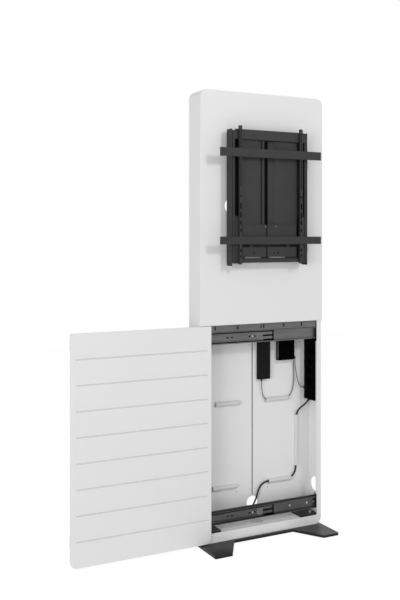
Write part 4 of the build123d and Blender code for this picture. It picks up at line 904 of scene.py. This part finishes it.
def fit_sockets(floors, clips):
    """Floors with pin holes and earth clips in the strip's four sockets."""
    x, y = SOCKET_FLOOR
    places = [((x - SOCKET_FACE_THICKNESS / 2, y, z), (-1, 0, 0)) for z in SOCKET_HEIGHTS]
    values = {
        "Face radius": SOCKET_FACE_RADIUS,
        "Face thickness": SOCKET_FACE_THICKNESS,
        "Hole radius": PIN_HOLE_RADIUS,
        "Hole offset": PIN_HOLE_OFFSET,
    }
    repeat_piece("socket_floors", floors, places, "root", "black_plastic", values)
    inner = x - SOCKET_FACE_THICKNESS - EARTH_CLIP[0] / 2
    places = [((inner, y, z - EARTH_CLIP_RISE), (0, 0, 1)) for z in SOCKET_HEIGHTS]
    values = {"Ribs": 2, "Step": (0.0, 0.0, 2 * EARTH_CLIP_RISE), "Rib size": EARTH_CLIP}
    repeat_piece("earth_clips", clips, places, "root", "slide_steel", values)


# Cords, on the routes that the CAD model gives, in metres
THIN_LEAD = 0.0035
MAINS_LEAD = 0.008
ADAPTER_LEAD_ROUTE = (
    (0.0467, 0.096, 0.714),
    (0.0467, 0.096, 0.696),
    (0.0486, 0.0966, 0.676),
    (0.0522, 0.0976, 0.656),
    (0.0595, 0.0992, 0.638),
    (0.073, 0.1004, 0.626),
    (0.091, 0.1008, 0.621),
    (0.117, 0.1009, 0.6195),
    (0.148, 0.1009, 0.619),
    (0.178, 0.1008, 0.6202),
    (0.199, 0.1004, 0.625),
    (0.214, 0.0996, 0.6375),
    (0.2245, 0.099, 0.656),
    (0.231, 0.0988, 0.68),
    (0.2344, 0.099, 0.708),
    (0.2352, 0.0992, 0.738),
    (0.2338, 0.0992, 0.768),
    (0.232, 0.099, 0.795),
    (0.232, 0.099, 0.815),
)
BOX_LEAD_ROUTE = (
    (0.232, 0.086, 0.815),
    (0.232, 0.086, 0.797),
    (0.2355, 0.0876, 0.774),
    (0.2408, 0.0896, 0.75),
    (0.246, 0.0912, 0.729),
    (0.2525, 0.0932, 0.708),
    (0.2595, 0.0948, 0.69),
    (0.2685, 0.0958, 0.6755),
    (0.281, 0.096, 0.667),
    (0.296, 0.096, 0.667),
)
MAINS_LEAD_ROUTE = (
    (0.302028, 0.081081, 0.598568),
    (0.288335, 0.082222, 0.585446),
    (0.271, 0.0875, 0.5735),
    (0.257, 0.0945, 0.5575),
    (0.2492, 0.0994, 0.533),
    (0.2467, 0.1009, 0.492),
    (0.2463, 0.1009, 0.43),
    (0.2464, 0.1009, 0.368),
    (0.2474, 0.1009, 0.318),
    (0.2476, 0.1009, 0.27),
    (0.2388, 0.1008, 0.2478),
    (0.2225, 0.1009, 0.2318),
    (0.203, 0.101, 0.2246),
    (0.176, 0.1009, 0.2234),
    (0.144, 0.1009, 0.2236),
    (0.112, 0.1008, 0.2256),
    (0.082, 0.0998, 0.2276),
    (0.056, 0.0984, 0.2225),
    (0.0375, 0.0976, 0.206),
    (0.027, 0.0982, 0.182),
    (0.02, 0.1008, 0.156),
    (0.012, 0.107, 0.13),
    (0.004, 0.118, 0.104),
    (-0.003, 0.1285, 0.076),
    (-0.01, 0.1338, 0.046),
    (-0.021, 0.134, 0.021),
    (-0.041, 0.134, 0.0065),
    (-0.0725, 0.134, 0.004),
)
COIL_CENTRE = Vector((-0.095, 0.19))
COIL_OUTER_TURN = 0.056
COIL_INNER_TURN = 0.032
COIL_LAYERS = (0.004, 0.012)
POINTS_PER_TURN = 16
PLUG_END = (
    (-0.072, 0.2452, 0.0122),
    (-0.056, 0.2385, 0.0142),
    (-0.047, 0.2305, 0.0166),
    (-0.041, 0.228, 0.018),
    (-0.036, 0.228, 0.018),
)


def coil_turns():
    """Points of the wound length: inwards on the floor, up, and outwards on the first layer."""
    quarter = math.pi / 2
    layer_turns = (COIL_OUTER_TURN - COIL_INNER_TURN) / MAINS_LEAD
    inwards = int(layer_turns * POINTS_PER_TURN)
    climbing = POINTS_PER_TURN // 2
    outwards = int(layer_turns * POINTS_PER_TURN)
    points = []
    for step in range(inwards + climbing + outwards + 1):
        angle = -quarter - step * 2 * math.pi / POINTS_PER_TURN
        inner = min(step, inwards) / inwards
        outer = max(step - inwards - climbing, 0) / outwards
        radius = COIL_OUTER_TURN - (COIL_OUTER_TURN - COIL_INNER_TURN) * (inner - outer)
        rise = min(max((step - inwards) / climbing, 0), 1)
        height = COIL_LAYERS[0] + (COIL_LAYERS[1] - COIL_LAYERS[0]) * rise
        place = COIL_CENTRE + radius * Vector((math.cos(angle), math.sin(angle)))
        points.append((place.x, place.y, height))
    return points


def make_cord(name, route, diameter, sheath):
    """A round cord whose smooth line has the route as its control points."""
    line = bpy.data.curves.new(name, "CURVE")
    line.dimensions = "3D"
    line.bevel_depth = diameter / 2
    line.bevel_resolution = 4
    line.resolution_u = 5
    line.use_fill_caps = True
    spline = line.splines.new("NURBS")
    spline.points.add(len(route) - 1)
    for point, place in zip(spline.points, route):
        point.co = (*place, 1)
    spline.order_u = 3
    spline.use_endpoint_u = True
    line.materials.append(sheath)
    cord = bpy.data.objects.new(name, line)
    scene.collection.objects.link(cord)
    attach(cord, "root")
    return cord


def lay_cords(sheath):
    """The two thin leads of the devices and the strip's mains lead with its coil."""
    adapter_lead = make_cord("adapter_lead_cord", ADAPTER_LEAD_ROUTE, THIN_LEAD, sheath)
    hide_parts("adapter_lead")
    box_lead = make_cord("box_lead_cord", BOX_LEAD_ROUTE, THIN_LEAD, sheath)
    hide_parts("box_lead")
    route = (*MAINS_LEAD_ROUTE, *coil_turns(), *PLUG_END)
    mains_lead = make_cord("mains_lead_cord", route, MAINS_LEAD, sheath)
    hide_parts("mains_lead", "mains_lead_coil")


# Spring strips, at the places of the CAD ones
STRIP_STATIONS = 12
STRIP_EDGE = 0.00015


def hang_strips(steel):
    """Free strips of both springs, with eased edges."""
    points = []
    faces = []
    for low, high, _ in solid_boxes("spring_strips"):
        ring = (
            (low.x + STRIP_EDGE, low.y),
            (high.x - STRIP_EDGE, low.y),
            (high.x, low.y + STRIP_EDGE),
            (high.x, high.y - STRIP_EDGE),
            (high.x - STRIP_EDGE, high.y),
            (low.x + STRIP_EDGE, high.y),
            (low.x, high.y - STRIP_EDGE),
            (low.x, low.y + STRIP_EDGE),
        )
        count = len(ring)
        first = len(points)
        for station in range(STRIP_STATIONS + 1):
            height = low.z + (high.z - low.z) * station / STRIP_STATIONS
            points.extend((x, y, height) for x, y in ring)
        for station in range(STRIP_STATIONS):
            start = first + station * count
            for corner in range(count):
                after = (corner + 1) % count
                low_edge = (start + corner, start + after)
                faces.append((*low_edge, start + after + count, start + corner + count))
        top = first + STRIP_STATIONS * count
        faces.append(tuple(range(first + count - 1, first - 1, -1)))
        faces.append(tuple(range(top, top + count)))
    mesh = bpy.data.meshes.new("free_spring_strips")
    mesh.from_pydata(points, [], faces)
    mesh.materials.append(steel)
    strips = bpy.data.objects.new("free_spring_strips", mesh)
    scene.collection.objects.link(strips)
    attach(strips, "root")
    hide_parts("spring_strips")
    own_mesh(strips)


# Studio: white surroundings, a main lamp from the upper right front and a soft fill from the left
WORLD_LEVEL = 0.46
LAMPS = {
    "main_lamp": {"place": (1.35, -3.9, 3.6), "target": (0, 0, 1.5), "size": 0.8, "power": 45},
    "left_fill": {"place": (-5.4, -3.5, 1.3), "target": (0.2, 0.05, 0.9), "size": 3.5, "power": 141},
}


def light_world():
    """White world that shows as plain white and lights the stand at a plain level."""
    world = bpy.data.worlds.new("studio")
    world.use_nodes = True
    tree = world.node_tree
    output = tree.nodes["World Output"]
    shown = tree.nodes["Background"]
    shown.inputs["Color"].default_value = (1, 1, 1, 1)
    shown.inputs["Strength"].default_value = 1.0
    lighting = tree.nodes.new("ShaderNodeBackground")
    lighting.inputs["Color"].default_value = (1, 1, 1, 1)
    lighting.inputs["Strength"].default_value = WORLD_LEVEL
    path = tree.nodes.new("ShaderNodeLightPath")
    seen = sums(tree, "MAXIMUM", path.outputs["Is Camera Ray"], path.outputs["Is Transmission Ray"])
    seen = sums(tree, "MAXIMUM", seen, path.outputs["Is Glossy Ray"])
    mixed = tree.nodes.new("ShaderNodeMixShader")
    tree.links.new(seen, mixed.inputs["Fac"])
    tree.links.new(lighting.outputs[0], mixed.inputs[1])
    tree.links.new(shown.outputs[0], mixed.inputs[2])
    tree.links.new(mixed.outputs[0], output.inputs["Surface"])
    scene.world = world


def hang_lamps():
    """Round soft lamps, each aimed at its target."""
    for name, lamp in LAMPS.items():
        light = bpy.data.lights.new(name, "AREA")
        light.shape = "DISK"
        light.size = lamp["size"]
        light.energy = lamp["power"]
        holder = bpy.data.objects.new(name, light)
        holder.location = lamp["place"]
        aim = Vector(lamp["target"]) - Vector(lamp["place"])
        holder.rotation_euler = aim.to_track_quat("-Z", "Y").to_euler()
        scene.collection.objects.link(holder)


FLOOR_DROP = 0.0004
FLOOR_SIZE = 14
FLOOR_COLOUR = (0.86, 0.86, 0.86, 1)
FLOOR_SHOWN_SHARE = 0.8
FLOOR_GLOW = 1.13


def lay_floor():
    """A pale floor that shows white and keeps a light shadow under the stand."""
    made, tree, shader, place = start_material("floor_paint")
    tone = effect(
        tree, TONE_DRIFT, Vector=place, Colour=FLOOR_COLOUR, Patches_per_metre=0.7, Amount=0.01
    )["Colour"]
    tree.links.new(tone, shader.inputs["Base Color"])
    shader.inputs["Roughness"].default_value = 0.9
    shader.inputs["Specular IOR Level"].default_value = 0.1
    glow = tree.nodes.new("ShaderNodeEmission")
    glow.inputs["Strength"].default_value = FLOOR_GLOW
    path = tree.nodes.new("ShaderNodeLightPath")
    seen = sums(tree, "MAXIMUM", path.outputs["Is Camera Ray"], path.outputs["Is Glossy Ray"])
    share = sums(tree, "MULTIPLY", seen, FLOOR_SHOWN_SHARE)
    mixed = tree.nodes.new("ShaderNodeMixShader")
    tree.links.new(share, mixed.inputs["Fac"])
    tree.links.new(shader.outputs[0], mixed.inputs[1])
    tree.links.new(glow.outputs[0], mixed.inputs[2])
    tree.links.new(mixed.outputs[0], tree.nodes["Material Output"].inputs["Surface"])
    mesh = bpy.data.meshes.new("floor")
    half = FLOOR_SIZE / 2
    corners = [(-half, -half), (half, -half), (half, half), (-half, half)]
    mesh.from_pydata([(x, y, -FLOOR_DROP) for x, y in corners], [], [(0, 1, 2, 3)])
    mesh.materials.append(made)
    floor = bpy.data.objects.new("floor", mesh)
    scene.collection.objects.link(floor)


place_camera()
materials = make_materials()
dress_cad_nodes(materials)
lay_cords(materials["lead_sheath"])
hang_strips(materials["spring_steel"])
screws = make_screw_pattern()
set_screws(screws)
set_rivets(screws)
set_balls(make_ball_pattern())
ribs = make_rib_pattern()
set_bumper_ribs(ribs)
set_box_fins(ribs)
fit_sockets(make_socket_pattern(), ribs)
light_world()
hang_lamps()
lay_floor()
scene.view_settings.view_transform = "Standard"
